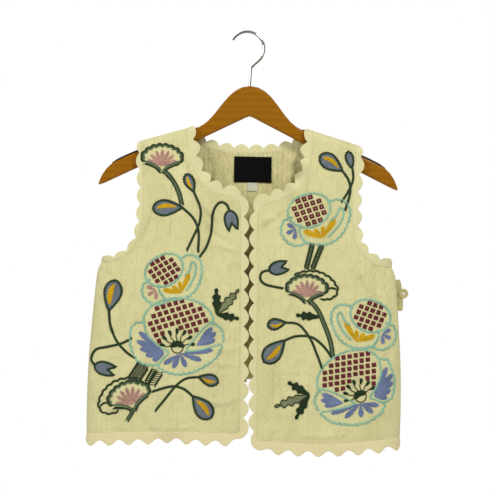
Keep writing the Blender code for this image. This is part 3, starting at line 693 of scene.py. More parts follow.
def back_hem_edging():
    path = across_back([(0, c) for c in range(backs[1][0].shape[1])], -1)
    _, marks = whole_row(path, SCALLOP["hem"], TIP_POWER)
    return edging_strip("edging_strip_back_hem", path, marks, [(0, EDGE_HEM)])


def armhole_edging(name, front, back, side):
    """A ring from the underarm up the front, over the shoulder and down the back."""
    rows, columns, _ = front[0].shape
    cells = [(r, columns - 1) for r in range(UNDERARM_ROW, rows)]
    path = joined(edge_path(front, cells, side), backwards(edge_path(back, cells, -side)))
    path = joined(path, tuple(values[:1] for values in path))
    total = lengths_along(path[0])[-1]
    shoulder = lengths_along(path[0])[len(cells) - 1]
    period = SCALLOP["armhole"]
    marks = np.vstack([scallops(0, shoulder, period), scallops(shoulder, total, period)])
    narrow = (EDGE_ON_RIDGE, EDGE_ARMHOLE[side][1])
    sections = [
        (0, EDGE_ARMHOLE[side]), (shoulder - RIDGE_REACH, narrow),
        (shoulder + RIDGE_REACH, EDGE_ARMHOLE[side]),
    ]
    return edging_strip(name, path, marks, sections, closed=True)


# The edging of each node, and the cloth that carries it
EDGINGS = {
    "edging_front_right": (front_edging("edging_strip_front_right", right, FRONT_RIGHT), cloth_right),
    "edging_front_left": (front_edging("edging_strip_front_left", left, FRONT_LEFT), cloth_left),
    "edging_back_neck": (back_neck_edging(), cloth_back),
    "edging_back_hem": (back_hem_edging(), cloth_back),
    "edging_armhole_right": (
        armhole_edging("edging_strip_armhole_right", right, backs[-1], -1), cloth_right),
    "edging_armhole_left": (
        armhole_edging("edging_strip_armhole_left", left, backs[1], 1), cloth_left),
}
print("edging faces", {name: len(strip.data.polygons) for name, (strip, _) in EDGINGS.items()})

# %% [markdown]
# ## Node helpers
#
# A material is a small graph of nodes. A few helpers keep each graph short: one adds a
# node with its values, and others add a Math node, a mix or a noise. A value may be a
# number or the output of another node.

# %% Node helpers


def add_node(tree, kind, values=None, **settings):
    made = tree.nodes.new(kind)
    for key, setting in settings.items():
        setattr(made, key, setting)
    for socket, value in (values or {}).items():
        if isinstance(value, bpy.types.NodeSocket):
            tree.links.new(value, made.inputs[socket])
        else:
            made.inputs[socket].default_value = value
    return made


def maths(tree, operation, *values):
    made = add_node(tree, "ShaderNodeMath", dict(enumerate(values)), operation=operation)
    return made.outputs[0]


def mixed(tree, share, first, second):
    """A mix of two colours, each three numbers or the output of a node."""
    pair = [c if isinstance(c, bpy.types.NodeSocket) else (*c, 1) for c in (first, second)]
    made = add_node(tree, "ShaderNodeMix", {0: share, 6: pair[0], 7: pair[1]}, data_type="RGBA")
    return made.outputs[2]


def object_place(tree):
    return add_node(tree, "ShaderNodeTexCoord").outputs["Object"]


def axes_of(tree, place):
    return add_node(tree, "ShaderNodeSeparateXYZ", {0: place}).outputs


def stretched(tree, place, scale):
    """Coordinates scaled by a different amount along each axis."""
    return add_node(tree, "ShaderNodeVectorMath", {0: place, 1: scale}, operation="MULTIPLY").outputs[0]


def noise(tree, place, scale, detail=2, roughness=0.5):
    values = {"Vector": place, "Scale": scale, "Detail": detail, "Roughness": roughness}
    return add_node(tree, "ShaderNodeTexNoise", values).outputs[0]


def ranged(tree, value, low, high, to_low=0, to_high=1):
    values = {0: value, 1: low, 2: high, 3: to_low, 4: to_high}
    return add_node(tree, "ShaderNodeMapRange", values).outputs[0]


def new_group(name, inputs, outputs):
    """A node group whose inputs and outputs are named, with its two end nodes."""
    group = bpy.data.node_groups.new(name, "ShaderNodeTree")
    for label, value in inputs:
        socket = group.interface.new_socket(label, in_out="INPUT", socket_type="NodeSocketFloat")
        socket.default_value = value
    for label in outputs:
        group.interface.new_socket(label, in_out="OUTPUT", socket_type="NodeSocketFloat")
    return group, group.nodes.new("NodeGroupInput").outputs, group.nodes.new("NodeGroupOutput").inputs


def put_out(group, put, **values):
    for label, value in values.items():
        group.links.new(value, put[label])


def placed_group(tree, group, **values):
    made = add_node(tree, "ShaderNodeGroup", node_tree=group)
    for label, value in values.items():
        made.inputs[label].default_value = value
    return made.outputs


def new_material(name, rough, **constants):
    """A material, its tree and its Principled shader with the constants set on it."""
    made = bpy.data.materials.new(name)
    made.use_nodes = True
    shader = made.node_tree.nodes["Principled BSDF"]
    shader.inputs["Roughness"].default_value = rough
    for label, value in constants.items():
        shader.inputs[label.replace("_", " ")].default_value = value
    return made, made.node_tree, shader


def add_bump(tree, shader, height, distance):
    bump = add_node(tree, "ShaderNodeBump", {"Height": height, "Distance": distance})
    tree.links.new(bump.outputs[0], shader.inputs["Normal"])


# %% [markdown]
# ## Striped cotton
#
# The cloth is a cream cotton with self stripes: the same thread woven tighter every
# few millimetres, which puckers it into fine upright lines. One node group makes the
# stripes, the crinkles and the weave from the object's own coordinates, so the same
# group serves the panels, the tab and the edging with other values. An image would
# need an unwrapped mesh, and its threads would blur when seen close.

# %% Striped cotton
STRIPE_SHADE = (0.42, 0.38, 0.17)
RUMPLE = 11
WEAVE = 0.05
HEM_TINT = (-0.575, -0.597)    # the heights, in metres, between which the edging grows warmer


def striped_cotton():
    inputs = [("Stripe repeat", 0.0074), ("Stripe width", 0.12), ("Thread", 0.00042)]
    group, given, put = new_group("Striped cotton", inputs, ["Stripe", "Tone", "Crinkle", "Rumple", "Weave"])
    place = object_place(group)
    axes = axes_of(group, place)
    drift = maths(group, "MULTIPLY", noise(group, place, 14), 0.006)
    turns = maths(group, "DIVIDE", maths(group, "ADD", axes[0], drift), given["Stripe repeat"])
    stripe = ranged(group, maths(group, "PINGPONG", turns, 0.5), 0, given["Stripe width"], 1, 0)
    streaks = noise(group, stretched(group, place, (420, 60, 9)), 1, 3)
    around, along = (maths(group, "MULTIPLY", axes[axis], math.tau) for axis in (0, 2))
    warp, weft = (
        maths(group, "SINE", maths(group, "DIVIDE", angle, given["Thread"])) for angle in (around, along)
    )
    put_out(
        group, put, Crinkle=streaks, Weave=maths(group, "MULTIPLY", warp, weft),
        Stripe=maths(group, "MULTIPLY", stripe, ranged(group, streaks, 0.35, 0.6)),
        Tone=noise(group, stretched(group, place, (1, 1, 0.5)), 24, 4, 0.6),
        Rumple=noise(group, stretched(group, place, (62, 40, 34)), 1, 4, 0.55),
    )
    return group


COTTON = striped_cotton()


def new_cotton(name):
    """A cotton material, its tree and shader, and the outputs of the cotton group."""
    made, tree, shader = new_material(name, 0.9, Sheen_Weight=0.12, Sheen_Roughness=0.6)
    return made, tree, shader, placed_group(tree, COTTON)


def cotton_material(name, light, dark, crinkle=0.0007, stripes=0.11, ribs=0.35):
    made, tree, shader, cloth = new_cotton(name)
    colour = mixed(tree, ranged(tree, cloth["Tone"], 0.35, 0.7), light, dark)
    shade = maths(tree, "MULTIPLY", cloth["Stripe"], stripes)
    tree.links.new(mixed(tree, shade, colour, STRIPE_SHADE), shader.inputs["Base Color"])
    folds = maths(tree, "MULTIPLY", maths(tree, "SUBTRACT", cloth["Crinkle"], cloth["Stripe"]), ribs)
    folds = maths(tree, "ADD", folds, maths(tree, "MULTIPLY", cloth["Rumple"], RUMPLE))
    weave = maths(tree, "MULTIPLY", cloth["Weave"], WEAVE)
    add_bump(tree, shader, maths(tree, "ADD", folds, weave), crinkle)
    return made


def edging_material():
    """The edging's plain cloth: as the panels at the neck, and a warmer cream at the hem."""
    made, tree, shader, cloth = new_cotton("edging_cotton")
    low = ranged(tree, axes_of(tree, object_place(tree))[2], *HEM_TINT)
    upper = mixed(tree, cloth["Tone"], (0.655, 0.61, 0.31), (0.73, 0.68, 0.365))
    hem = mixed(tree, cloth["Tone"], (0.68, 0.60, 0.31), (0.77, 0.68, 0.37))
    tree.links.new(mixed(tree, low, upper, hem), shader.inputs["Base Color"])
    folds = maths(tree, "ADD", maths(tree, "MULTIPLY", cloth["Rumple"], 3), cloth["Crinkle"])
    add_bump(tree, shader, folds, 0.0005)
    return made


CLOTH_FINISH = cotton_material("cream_cotton", (0.725, 0.675, 0.335), (0.63, 0.585, 0.28), stripes=0.17)
# The back's inner face is the same cream cotton. This copy is made lighter as painted light, for the light
# that comes in at the neck, and its stripes are drawn twice as dark: partly the woven stripe, partly painted
# shade in the gathers.
LINING_PAINTED_LIGHT_AND_SHADE = cotton_material(
    "lining_cotton_painted_light_and_shade", (0.75, 0.69, 0.335), (0.66, 0.60, 0.27), 0.0009, 0.34, 0.7)
EDGING_FINISH = edging_material()


def dress(obj, finish, node):
    """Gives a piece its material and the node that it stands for."""
    obj.data.materials.append(finish)
    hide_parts(node)


dress(cloth_right, CLOTH_FINISH, "front_right")
dress(cloth_left, CLOTH_FINISH, "front_left")
# The back's inner face takes the copy with painted light and shade, its outer face the cream cotton.
dress(cloth_back, LINING_PAINTED_LIGHT_AND_SHADE, "back")
cloth_back.data.materials.append(CLOTH_FINISH)
cloth_back.modifiers["cloth"].material_offset = 1
for node_name, (strip, _) in EDGINGS.items():
    dress(strip, EDGING_FINISH, node_name)
print("cotton pieces", 3 + len(EDGINGS))

# %% [markdown]
# ## One stitch, many times
#
# Crewel work is wool laid over the cloth in short stitches, so every line and petal
# has relief. One low stitch, a closed lens of fourteen points, is repeated by array
# arithmetic into one mesh per colour and front. Lines are slanted stitches in a row,
# like stem stitch, and petals are filled with rows of stitches laid like bricks.
# A particle system could scatter stitches, but it couldn't lay them in neat rows.

# %% One stitch, many times
STITCH = np.array([
    (-0.5, 0, 0.15),
    (-0.4, -0.45, 0), (-0.4, -0.24, 0.8), (-0.4, 0.24, 0.8), (-0.4, 0.45, 0),
    (0, -0.5, 0), (0, -0.26, 1), (0, 0.26, 1), (0, 0.5, 0),
    (0.4, -0.45, 0), (0.4, -0.24, 0.8), (0.4, 0.24, 0.8), (0.4, 0.45, 0),
    (0.5, 0, 0.15),
])
STITCH_QUADS = [
    (ring + k, ring + (k + 1) % 4, ring + 4 + (k + 1) % 4, ring + 4 + k) for ring in (1, 5) for k in range(4)
]
STITCH_ENDS = [(0, 1 + (k + 1) % 4, 1 + k) for k in range(4)]
STITCH_ENDS += [(13, 9 + k, 9 + (k + 1) % 4) for k in range(4)]
SUNK = 0.12                    # how far a stitch's base is sunk in the cloth
THINNEST = 0.7
LINE_END = 0.3                 # how far a line's first stitch lies inside its end, as a share of the stitch
ROW_STEP = 0.92                # distance between the stitches of a line, as a share of the thread's width
SHORTEST = 0.9
OVERLAP = 1.1664               # a filling's stitch is this much longer than its place, to overlap the next
sewn = {}


def sew(front, colour, centres, angles, lengths, width, height, lift=0):
    """Adds stitches of one colour to one front: places, directions and sizes in millimetres."""
    count = len(centres)
    columns = [np.broadcast_to(value, count) for value in (angles, lengths, width, height, lift)]
    sewn.setdefault((front, colour), []).append(np.column_stack([centres, *columns]))


def headings(run, marks, step=0.4):
    """Directions of a run, in radians, at distances from its start."""
    ahead = at_distance(run, marks + step) - at_distance(run, marks - step)
    return np.arctan2(ahead[:, 1], ahead[:, 0])


def stitched_line(front, colour, run, width=6, length=5.6, slant=34, height=1.1, lift=0):
    """Slanted stitches in a row along a run of points."""
    lean = math.radians(slant)
    thread = max(THINNEST, (width - length * math.sin(lean)) / math.cos(lean))
    total = lengths_along(run)[-1]
    count = max(2, round(total / (ROW_STEP * thread)))
    marks = np.linspace(LINE_END * length, total - LINE_END * length, count)
    sew(front, colour, at_distance(run, marks), headings(run, marks) + lean, length, thread, height, lift)


def filled(front, colour, outline, angle, length=4.5, pitch=1.05, height=0.75, lift=0, thread=1.3):
    """Rows of stitches inside a closed outline, each row shifted by half a stitch.

    The thread's width is a share of the pitch, so a low one leaves cloth between the rows.
    """
    turned = outline @ turning(-angle)
    ends = np.roll(turned, -1, axis=0)
    centres, lengths = [], []
    rows = np.arange(turned[:, 1].min() + pitch / 2, turned[:, 1].max(), pitch)
    for number, v in enumerate(rows):
        hit = (turned[:, 1] <= v) != (ends[:, 1] <= v)
        a, b = turned[hit], ends[hit]
        edges = np.sort(a[:, 0] + (v - a[:, 1]) / (b[:, 1] - a[:, 1]) * (b[:, 0] - a[:, 0]))
        for start, stop in zip(edges[::2], edges[1::2]):
            first = start - (0.5 * length if number % 2 else 0)
            cuts = np.clip(np.arange(first, stop + length, length), start, stop)
            for low, high in zip(cuts, cuts[1:]):
                if high - low > SHORTEST:
                    centres.append(((low + high) / 2, v))
                    lengths.append(OVERLAP * (high - low))
    if centres:
        places = np.array(centres) @ turning(angle)
        sew(front, colour, places, angle, np.array(lengths), thread * pitch, height, lift)


# %% [markdown]
# ## Shapes to embroider
#
# Poppies, buds and leaves are old crewel motifs. Each is drawn here from a few plain
# shapes: a drop for buds and petals, a smooth line for stems, a waved line for petal
# edges. Drawing them as functions means that every flower is placed, turned and
# scaled from a few numbers.

# %% Shapes to embroider


def point(*values):
    return np.array(values, float)


def heading(vector):
    return math.atan2(vector[1], vector[0])


def drop(root, tip, width, belly=1.5, blunt=0.6, bend=0):
    """Closed outline, pointed at its root and rounded at its tip."""
    along = tip - root
    across = left_of(along)
    t = np.linspace(0, 1, 17)
    half = width / 2 * np.sin(math.pi * t ** belly) ** blunt
    bow = bend * np.linalg.norm(along) * np.sin(math.pi * t)
    middle = root + along * t[:, None] + across * bow[:, None]
    return np.vstack([middle + across * half[:, None], (middle - across * half[:, None])[-2:0:-1]])


def two_sides(root, tip, sides):
    """Smooth left and right sides of a shape, from shares of its length and distances off its axis."""
    along = tip - root
    left, right = ([root + along * t + left_of(along) * way * s for t, s in sides] for way in (1, -1))
    return smooth_run(left), smooth_run(right[::-1])


def waved(points, bump, period=8.5):
    """A smooth line through points whose edge swells out in small waves."""
    run = smooth_run(points)
    total = lengths_along(run)[-1]
    marks = np.linspace(0, total, max(8, int(total)))
    spots = at_distance(run, marks)
    swell = bump * np.abs(np.sin(math.pi * round(total / period) * marks / total))
    return spots - left_of(np.gradient(spots, axis=0)) * swell[:, None]


def closed(outline):
    return np.vstack([outline, outline[:1]])


class Spot:
    """A place on a front where a motif is sewn, with its turn in degrees, size and mirroring."""

    def __init__(self, front, u, z, turn=0, size=1, flip=1):
        self.front = front
        self.origin = point(u, z)
        self.size = size
        self.scale = (flip * size, size)
        self.turning = turning(math.radians(turn))

    def at(self, points):
        return self.origin + np.asarray(points, float) * self.scale @ self.turning


CROSSING = {"length": 5, "pitch": 2.2, "height": 0.4, "lift": 0.5, "thread": 0.36}


def petals(spot, colour, root, tips, width):
    """A fan of drops that share a root. Blue ones are crossed by pale stitches in two directions."""
    root = spot.at(root)
    for tip in tips:
        tip = spot.at(tip)
        shape = drop(root, tip, width * spot.size, belly=1.9, blunt=0.5)
        filled(spot.front, colour, shape, heading(tip - root))
        if colour == "blue":
            for turn in (0.8, -0.8):
                filled(spot.front, "pale_blue", shape, heading(tip - root) + turn, **CROSSING)


def fan_tips(root, middle, spread, count, length, droop=0):
    """Tips of a regular fan: a middle direction and a spread in degrees."""
    angles = np.radians(middle + np.linspace(-spread, spread, count))
    reach = length * (1 - droop * np.linspace(-1, 1, count) ** 2)
    return [(root[0] + r * math.cos(a), root[1] + r * math.sin(a)) for a, r in zip(angles, reach)]


def stem(front, points, width=6):
    stitched_line(front, "dark_green", smooth_run(points), width)


def double_stem(front, points, width=7.4):
    """Two dark lines with a lighter one between them."""
    run = smooth_run(points)
    side = left_of(np.gradient(run, axis=0))
    stitched_line(front, "mid_green", run, width * 0.5, lift=0.1)
    for way in (-1, 1):
        line = run + side * way * width * 0.36
        stitched_line(front, "dark_green", line, width=width * 0.32, length=3.4, slant=16)


def bud(front, root, tip, width, streak):
    """A closed poppy bud: slate wool, a gold streak that bends by this share, and a dark edge."""
    root, tip = point(*root), point(*tip)
    shape = drop(root, tip, width)
    filled(front, "slate", shape, heading(tip - root) + 0.35)
    if streak:
        start, end = root + (tip - root) * 0.16, root + (tip - root) * 0.9
        line = drop(start, end, 0.3 * width, belly=1.1, blunt=0.7, bend=streak)
        filled(front, "gold", line, heading(tip - root), lift=0.6)
    stitched_line(front, "dark_green", closed(shape), 6.4)


def nodding_bud(front, root, tip, width):
    """A bud that has just opened, with two pointed sepals and a notch between them."""
    root, tip = point(*root), point(*tip)
    sides = [(0, 0), (0.06, 0.24), (0.3, 0.46), (0.62, 0.48), (1, 0.34)]
    left, right = two_sides(root, tip, [(t, width * s) for t, s in sides])
    shape = np.vstack([left, [root + (tip - root) * 0.62], right[:-1]])
    filled(front, "slate", shape, heading(tip - root) + 0.5)
    stitched_line(front, "dark_green", closed(shape), 5)


def budded_stem(front, points, tip, width, streak, stem_width=6):
    """A stem with a bud at its first point. Where the streak is None, the bud is a nodding one."""
    if streak is None:
        nodding_bud(front, points[0], tip, width)
    else:
        bud(front, points[0], tip, width, streak)
    stem(front, points, stem_width)


def leaf(spot, tip, width, colour="dark_green", teeth=4):
    """A serrated leaf from the spot to its tip, with satin stitches and a dark edge."""
    root, tip = spot.at((0, 0)), spot.at(tip)
    sides = [(0, 0)]
    for number in range(teeth):
        swell = math.sin(math.pi * (number + 0.55) / teeth) * width / 2
        sides += [((number + 0.15) / teeth, 0.6 * swell), ((number + 0.75) / teeth, swell)]
    left, right = two_sides(root, tip, [*sides, (1, 0)])
    shape = np.vstack([left, right[1:-1]])
    filled(spot.front, colour, shape, heading(tip - root) + 0.9, length=3.6)
    stitched_line(spot.front, "dark_green", closed(shape), width=2.2, length=2.6, slant=20, lift=0.45)


def checked(spot, outline, keep_clear, clear_radius, first, second, size, dots=False):
    """Square checks of satin stitch on a skewed lattice inside an outline, some with a pale dot."""
    outline = spot.at(outline)
    first, second = (spot.at(step) - spot.at((0, 0)) for step in (first, second))
    middle = outline.mean(axis=0)
    clear = spot.at(keep_clear)
    side = size * spot.size
    strands = 5
    spots, turns, middles = [], [], []
    for i in range(-9, 10):
        for j in range(-9, 10):
            centre = middle + first * i + second * j
            away = np.linalg.norm(centre - clear)
            if away > clear_radius * spot.size and inside(outline, centre, 0.3 * side):
                turn = heading(first) + (math.pi / 2 if (i + j) % 2 else 0)
                step = point(-math.sin(turn), math.cos(turn)) * side / strands
                spots += [centre + step * (k - (strands - 1) / 2) for k in range(strands)]
                turns += [turn] * strands
                middles.append(centre)
    wide = 1.15 * side / strands
    sew(spot.front, "burgundy", np.array(spots), np.array(turns), 1.05 * side, wide, height=0.85)
    if dots:
        turn = heading(first) + 0.8
        sew(spot.front, "cream", np.array(middles), turn, lengths=2.4, width=1.1, height=1.15)


def inside(outline, centre, margin):
    """True where the centre and four points around it are within the outline."""
    a, b = outline, np.roll(outline, -1, axis=0)
    for dx, dy in ((0, 0), (margin, 0), (-margin, 0), (0, margin), (0, -margin)):
        x, y = centre[0] + dx, centre[1] + dy
        crossing = (a[:, 1] <= y) != (b[:, 1] <= y)
        at_x = a[crossing, 0] + (y - a[crossing, 1]) / (b[crossing, 1] - a[crossing, 1]) * (
            b[crossing, 0] - a[crossing, 0])
        if np.sum(at_x > x) % 2 == 0:
            return False
    return True


# %% [markdown]
# ## Flowers
#
# The large poppy has a checked head, three petals edged in pale aqua with blue fans,
# and a seed pod with stamens. The side poppy shows a smaller head, a curled petal and
# a gold fan. The young blossom is a fan of pink rays in a green calyx. Each one is
# drawn once, around its own root, and sewn at every spot where it grows.

# %% Flowers
AQUA_LINE = {"width": 4.9, "length": 4.2, "slant": 38}


def head_shape(centre, half_width, half_height, narrowing=0.2, tilt=0):
    """An egg-shaped head that narrows towards its foot."""
    a = np.linspace(0, math.tau, 40, endpoint=False)
    shape = np.column_stack([
        half_width * np.sin(a) * (1 - narrowing + narrowing * np.cos(a)), half_height * np.cos(a),
    ])
    return shape @ turning(math.radians(tilt)) + centre


def polar(pairs):
    return [(r * math.cos(math.radians(a)), r * math.sin(math.radians(a))) for a, r in pairs]


def aqua_edge(spot, points, bump=2.2):
    stitched_line(spot.front, "aqua", spot.at(waved(points, bump)), **AQUA_LINE)


def aqua_line(spot, points):
    stitched_line(spot.front, "aqua", spot.at(smooth_run(points)), **AQUA_LINE)


def arch(centre, half_width, half_height, angles):
    """Points of an oval at angles from its top, in degrees, positive to the right."""
    turns = np.radians(angles)
    return np.column_stack([centre[0] + half_width * np.sin(turns), centre[1] + half_height * np.cos(turns)])


SIDE_PETAL = (146, 156, 168, 184, 200, 212, 222)     # directions of the points of its edge, in degrees


def great_poppy(spot, reach):
    """The reach gives the edge of the side petal, from the head's shoulder to the stalk."""
    head = [
        (-48, 44), (-47, 28), (-41, 14), (-30, 3), (-14, -3), (13, -2), (25, 12), (37, 28),
        (49, 37), (50, 46), (42, 59), (24, 69), (0, 72), (-24, 68), (-42, 58),
    ]
    checked(spot, np.array(head, float), (0, -1), 28, (9.4, 3), (4.6, -8.7), 7.3)
    aqua_edge(spot, arch((0, 36), 53, 35.5, (98, 75, 50, 25, 0, -25, -50, -75, -98)), 1.2)
    aqua_line(spot, [(-52, 32), (-47, 16), (-33, 1), (-14, -10)])
    aqua_line(spot, [(52, 38), (40, 28), (26, 12), (13, -6)])
    aqua_edge(spot, polar(list(zip(SIDE_PETAL, reach))))
    aqua_edge(spot, polar([(226, 43), (246, 43), (272, 43), (298, 45), (322, 50), (344, 60), (2, 67)]))
    aqua_edge(spot, polar([(6, 68), (18, 70), (28, 66), (34, 61)]))
    aqua_line(spot, polar([(222, 18), (223, 30), (226, 43)]))
    aqua_line(spot, polar([(318, 14), (346, 30), (358, 50), (3, 66)]))
    petals(spot, "blue", (-20, -12), [(-60, 20), (-63, 6), (-58, -6), (-49, -16), (-38, -24)], 8.6)
    petals(spot, "blue", (4, -13), [(-21, -29), (-7, -35), (13, -33), (37, -22), (54, -6)], 7.6)
    petals(spot, "blue", (28, 0), [(52, 29), (58, 21), (57, 10)], 8.4)
    pod(spot)


def pod(spot):
    """The seed pod: a ring, dark lobes on its top and stamens round it."""
    front = spot.front
    ring = head_shape((-1, -3), 9.5, 9, 0.05)
    stitched_line(front, "dark_green", closed(spot.at(ring)), width=2.4, length=2.8, slant=20)
    for tip in fan_tips((-1, -5), 90, 66, 5, 13):
        shape = drop(spot.at((-1, -2)), spot.at(tip), 5.4)
        filled(front, "dark_green", shape, 1.2, length=3, pitch=0.95, height=1, lift=0.2)
    for x, y in fan_tips((-1, -3), 92, 80, 7, 25, 0.06):
        start, end = spot.at((-1 + 0.42 * (x + 1), -3 + 0.42 * (y + 3))), spot.at((x, y))
        bend = point(-(end - start)[1], (end - start)[0]) * 0.12
        thread = smooth_run([start, (start + end) / 2 + bend, end])
        stitched_line(front, "dark_green", thread, width=2, length=2.8, slant=14)
        anther = drop(start * 0.4 + end * 0.6, end * 1.32 - start * 0.32, 5.2)
        filled(front, "dark_green", anther, heading(end - start), length=3, pitch=0.95, height=0.95, lift=0.1)


def side_poppy(spot, trefoil, dots=False):
    head = head_shape((-20, 39), 32, 23, 0.08, 18)
    checked(spot, head, (0, -20), 1, (9, 3), (3.9, -8.4), 7.3, dots)
    around = head_shape((-20, 39), 33, 24, 0.05, 18)
    aqua_edge(spot, closed(around[::-2]), 1)
    aqua_edge(spot, [(-8, -10), (6, -9), (22, -1), (33, 14), (39, 32), (37, 46), (28, 54), (16, 54), (8, 50)])
    aqua_line(spot, [(11, 24), (20, 32), (26, 44), (31, 37), (27, 23), (18, 10), (9, 1)])
    aqua_edge(spot, [(-44, 28), (-56, 22), (-60, 8), (-52, -6), (-38, -12), (-22, -8), (-10, -10)])
    aqua_line(spot, [(-32, 18), (-34, 8), (-28, -4), (-22, -9)])
    for tip, width in (((-28, 9), 8), ((-12, 12), 6.6), ((1, 17), 6.6), ((19, 28), 8.2)):
        petals(spot, "gold", (0, -2), [tip], width)
    petals(spot, trefoil, (-39, 11), fan_tips((-39, 11), 205, 56, 3, 15.5), 6)


def blossom(spot, collar=False):
    """A young flower seen from the side, and on one side the folds of its collar."""

    def sewn_line(colour, run, width):
        stitched_line(spot.front, colour, spot.at(run), width)

    petals(spot, "pink", (0, 0), fan_tips((0, 0), 90, 66, 7, 25.5, 0.06), 4.9)
    top = [(26, 6), (30, 15), (22, 25), (8, 31), (-8, 31), (-22, 25), (-30, 15), (-26, 6)]
    sewn_line("dark_green", waved(top, 1.8, 9), 4.2)
    sewn_line("mid_green", waved(0.9 * np.array(top, float) + (0, 1), 1.6, 8), 2.6)
    for way in (-1, 1):
        foot = np.array([(way * 27, 6), (way * 17, 3), (way * 8, -2), (way * 2, -9)], float)
        sewn_line("dark_green", smooth_run(foot + (0, -1.8)), 3.6)
        sewn_line("mid_green", smooth_run(foot + (-way * 1.5, 1.4)), 3)
    if collar:
        outer = [(-20, 31), (-8, 36), (8, 38), (22, 35), (35, 27), (44, 14), (41, 3), (30, -2), (20, -1)]
        sewn_line("dark_green", waved(outer[::-1], 1.4, 10), 4.4)
        sewn_line("dark_green", smooth_run([(30, 13), (37, 14), (44, 12)]), 4.2)


def stalks(front, *pairs):
    """Thick stalks worked in two dark lines, filled or with cross stitches between them."""
    for start, end, width, solid in pairs:
        start, end = point(*start), point(*end)
        side = left_of(end - start) * width / 2
        for way in (-1, 1):
            stitched_line(front, "dark_green", np.array([start, end]) + side * way, 3.2)
        count = int(np.linalg.norm(end - start) / 3.2)
        steps = start + (end - start) * np.linspace(0.06, 0.94, count)[:, None]
        if solid:
            shape = np.array([start + side, end + side, end - side, start - side])
            slant = heading(end - start) + 0.25
            filled(front, "dark_green", shape, slant, length=4.6, pitch=2, height=0.9, thread=0.85)
            for share in (-0.6, -0.2, 0.2, 0.6):
                flecks = steps + share * side + 0.14 * side * (-1) ** np.arange(count)[:, None]
                sew(front, "mid_green", flecks, 0.8, lengths=1.8, width=1.1, height=0.7, lift=0.6)
        else:
            sew(front, "dark_green", steps, heading(side) + 0.5, width * 1.05, width=1.5, height=0.8)


# %% [markdown]
# ## The right front's embroidery
#
# The wearer's right front carries one branch: a large poppy, a side poppy above it and
# buds that rise to the shoulder. The places follow the garment, in millimetres from
# its centre line and from the hanger's top.

# %% The right front's embroidery


def embroider_right():
    front = "right"
    great_poppy(Spot(front, -99, -466, 0, 0.97), (61, 73, 73, 70, 65, 55, 43))
    side_poppy(Spot(front, -96, -387, 12, 0.92), "pink")
    blossom(Spot(front, -128, -202))
    double_stem(front, [(-127, -208), (-116, -217), (-104, -236), (-97, -259)])
    budded_stem(front, [(-97, -262), (-80, -278), (-72, -298), (-72, -328)], (-140, -264), 22, -0.1)
    budded_stem(
        front, [(-80, -238), (-70, -262), (-71, -284), (-80, -306), (-89, -326)], (-92, -213), 14, 0.1, 5.4)
    nodding_bud(front, (-27, -266), (-21, -294), 19)
    stem(front, [(-27, -265), (-32, -256), (-42, -254), (-51, -268), (-53, -296), (-60, -320), (-70, -335)])
    spot = Spot(front, -42, -419)
    leaf(spot, (-2, 38), 12.5)
    leaf(spot, (31, 37), 14, "sage", 5)
    leaf(spot, (32, -6), 11.5)
    budded_stem(
        front, [(-202, -416), (-199, -440), (-189, -462), (-174, -478), (-161, -486)], (-193, -372), 25, 0.1)
    budded_stem(
        front, [(-221, -499), (-227, -489), (-220, -475), (-202, -470), (-183, -465), (-167, -457)],
        (-191, -506), 19, None)
    stalks(
        front, ((-149, -495), (-165, -521), 17, True), ((-133, -501), (-145, -523), 5, False),
        ((-124, -505), (-137, -526), 9, False),
    )
    blossom(Spot(front, -165, -554.5, 20, 1.05, -1), True)
    double_stem(front, [(-161, -560), (-166, -569), (-172, -579)], 6.4)
    budded_stem(
        front, [(-67, -512), (-86, -515), (-101, -526), (-116, -545), (-131, -564)],
        (-39, -519), 16, -0.12, 5.4)
    budded_stem(front, [(-75, -541), (-90, -530), (-108, -527), (-136, -535)], (-48, -572), 25, 0.1)


embroider_right()
print("stitches on the right front", sum(len(part) for parts in sewn.values() for part in parts))

# %% [markdown]
# ## The left front's embroidery
#
# The wearer's left front has a side poppy near the shoulder, a blossom under it, and
# a large poppy by the hem that leans towards the centre.

# %% The left front's embroidery


def embroider_left():
    front = "left"
    great_poppy(Spot(front, 170, -534, 28, 0.93, -1), (64, 70, 64, 60, 54, 50, 41))
    side_poppy(Spot(front, 111, -302), "blue", True)
    side_poppy(Spot(front, 165, -454, 0, 0.95, -1), "blue")
    budded_stem(front, [(139, -203), (149, -218), (151, -236), (144, -262)], (106, -181), 22, -0.1)
    bud(front, (153, -199), (147, -175), 10.5, 0)
    stem(front, [(154, -199), (155, -216), (148, -234), (138, -250)], 5.4)
    stalks(front, ((97, -311), (88, -350), 5, True), ((111, -313), (97, -350), 5, True))
    budded_stem(front, [(34, -352), (23, -356), (21, -366), (30, -374), (55, -379)], (61, -345), 19, None)
    blossom(Spot(front, 90, -391), True)
    double_stem(front, [(92, -394), (106, -409), (117, -432), (126, -456), (130, -478)])
    leaf(Spot(front, 108, -420), (-33, 2), 12.5)
    budded_stem(
        front, [(59, -429), (79, -432), (96, -452), (106, -474), (115, -497)], (33, -434), 15, 0.14, 5.4)
    budded_stem(front, [(58, -456), (76, -449), (98, -450), (116, -463), (129, -480)], (29, -488), 25, 0.08)
    spot = Spot(front, 96, -535)
    leaf(spot, (-31, 18), 12.5)
    leaf(spot, (-50, -19), 14.5, "sage", 5)
    leaf(spot, (-19, -36), 12)


embroider_left()
print("stitches in all", sum(len(part) for parts in sewn.values() for part in parts))

# %% [markdown]
# ## Stitches along the edges
#
# A row of small cream stitches holds the edging in the neck, the centre edge and the
# hem. It follows the same curves that cut the panels, a few millimetres inside them.

# %% Stitches along the edges
EDGE_ROW = 5                   # distance of the row from the edge
ROW_START = 2
EDGE_STEP = 3.6
EDGE_STITCH = (2.3, 0.6, 0.35)             # length, width and height
BELOW_SHOULDER = 12
HEM_MIDDLE = 120               # half widths of the middle and the end of the hem's row
HEM_END = 224


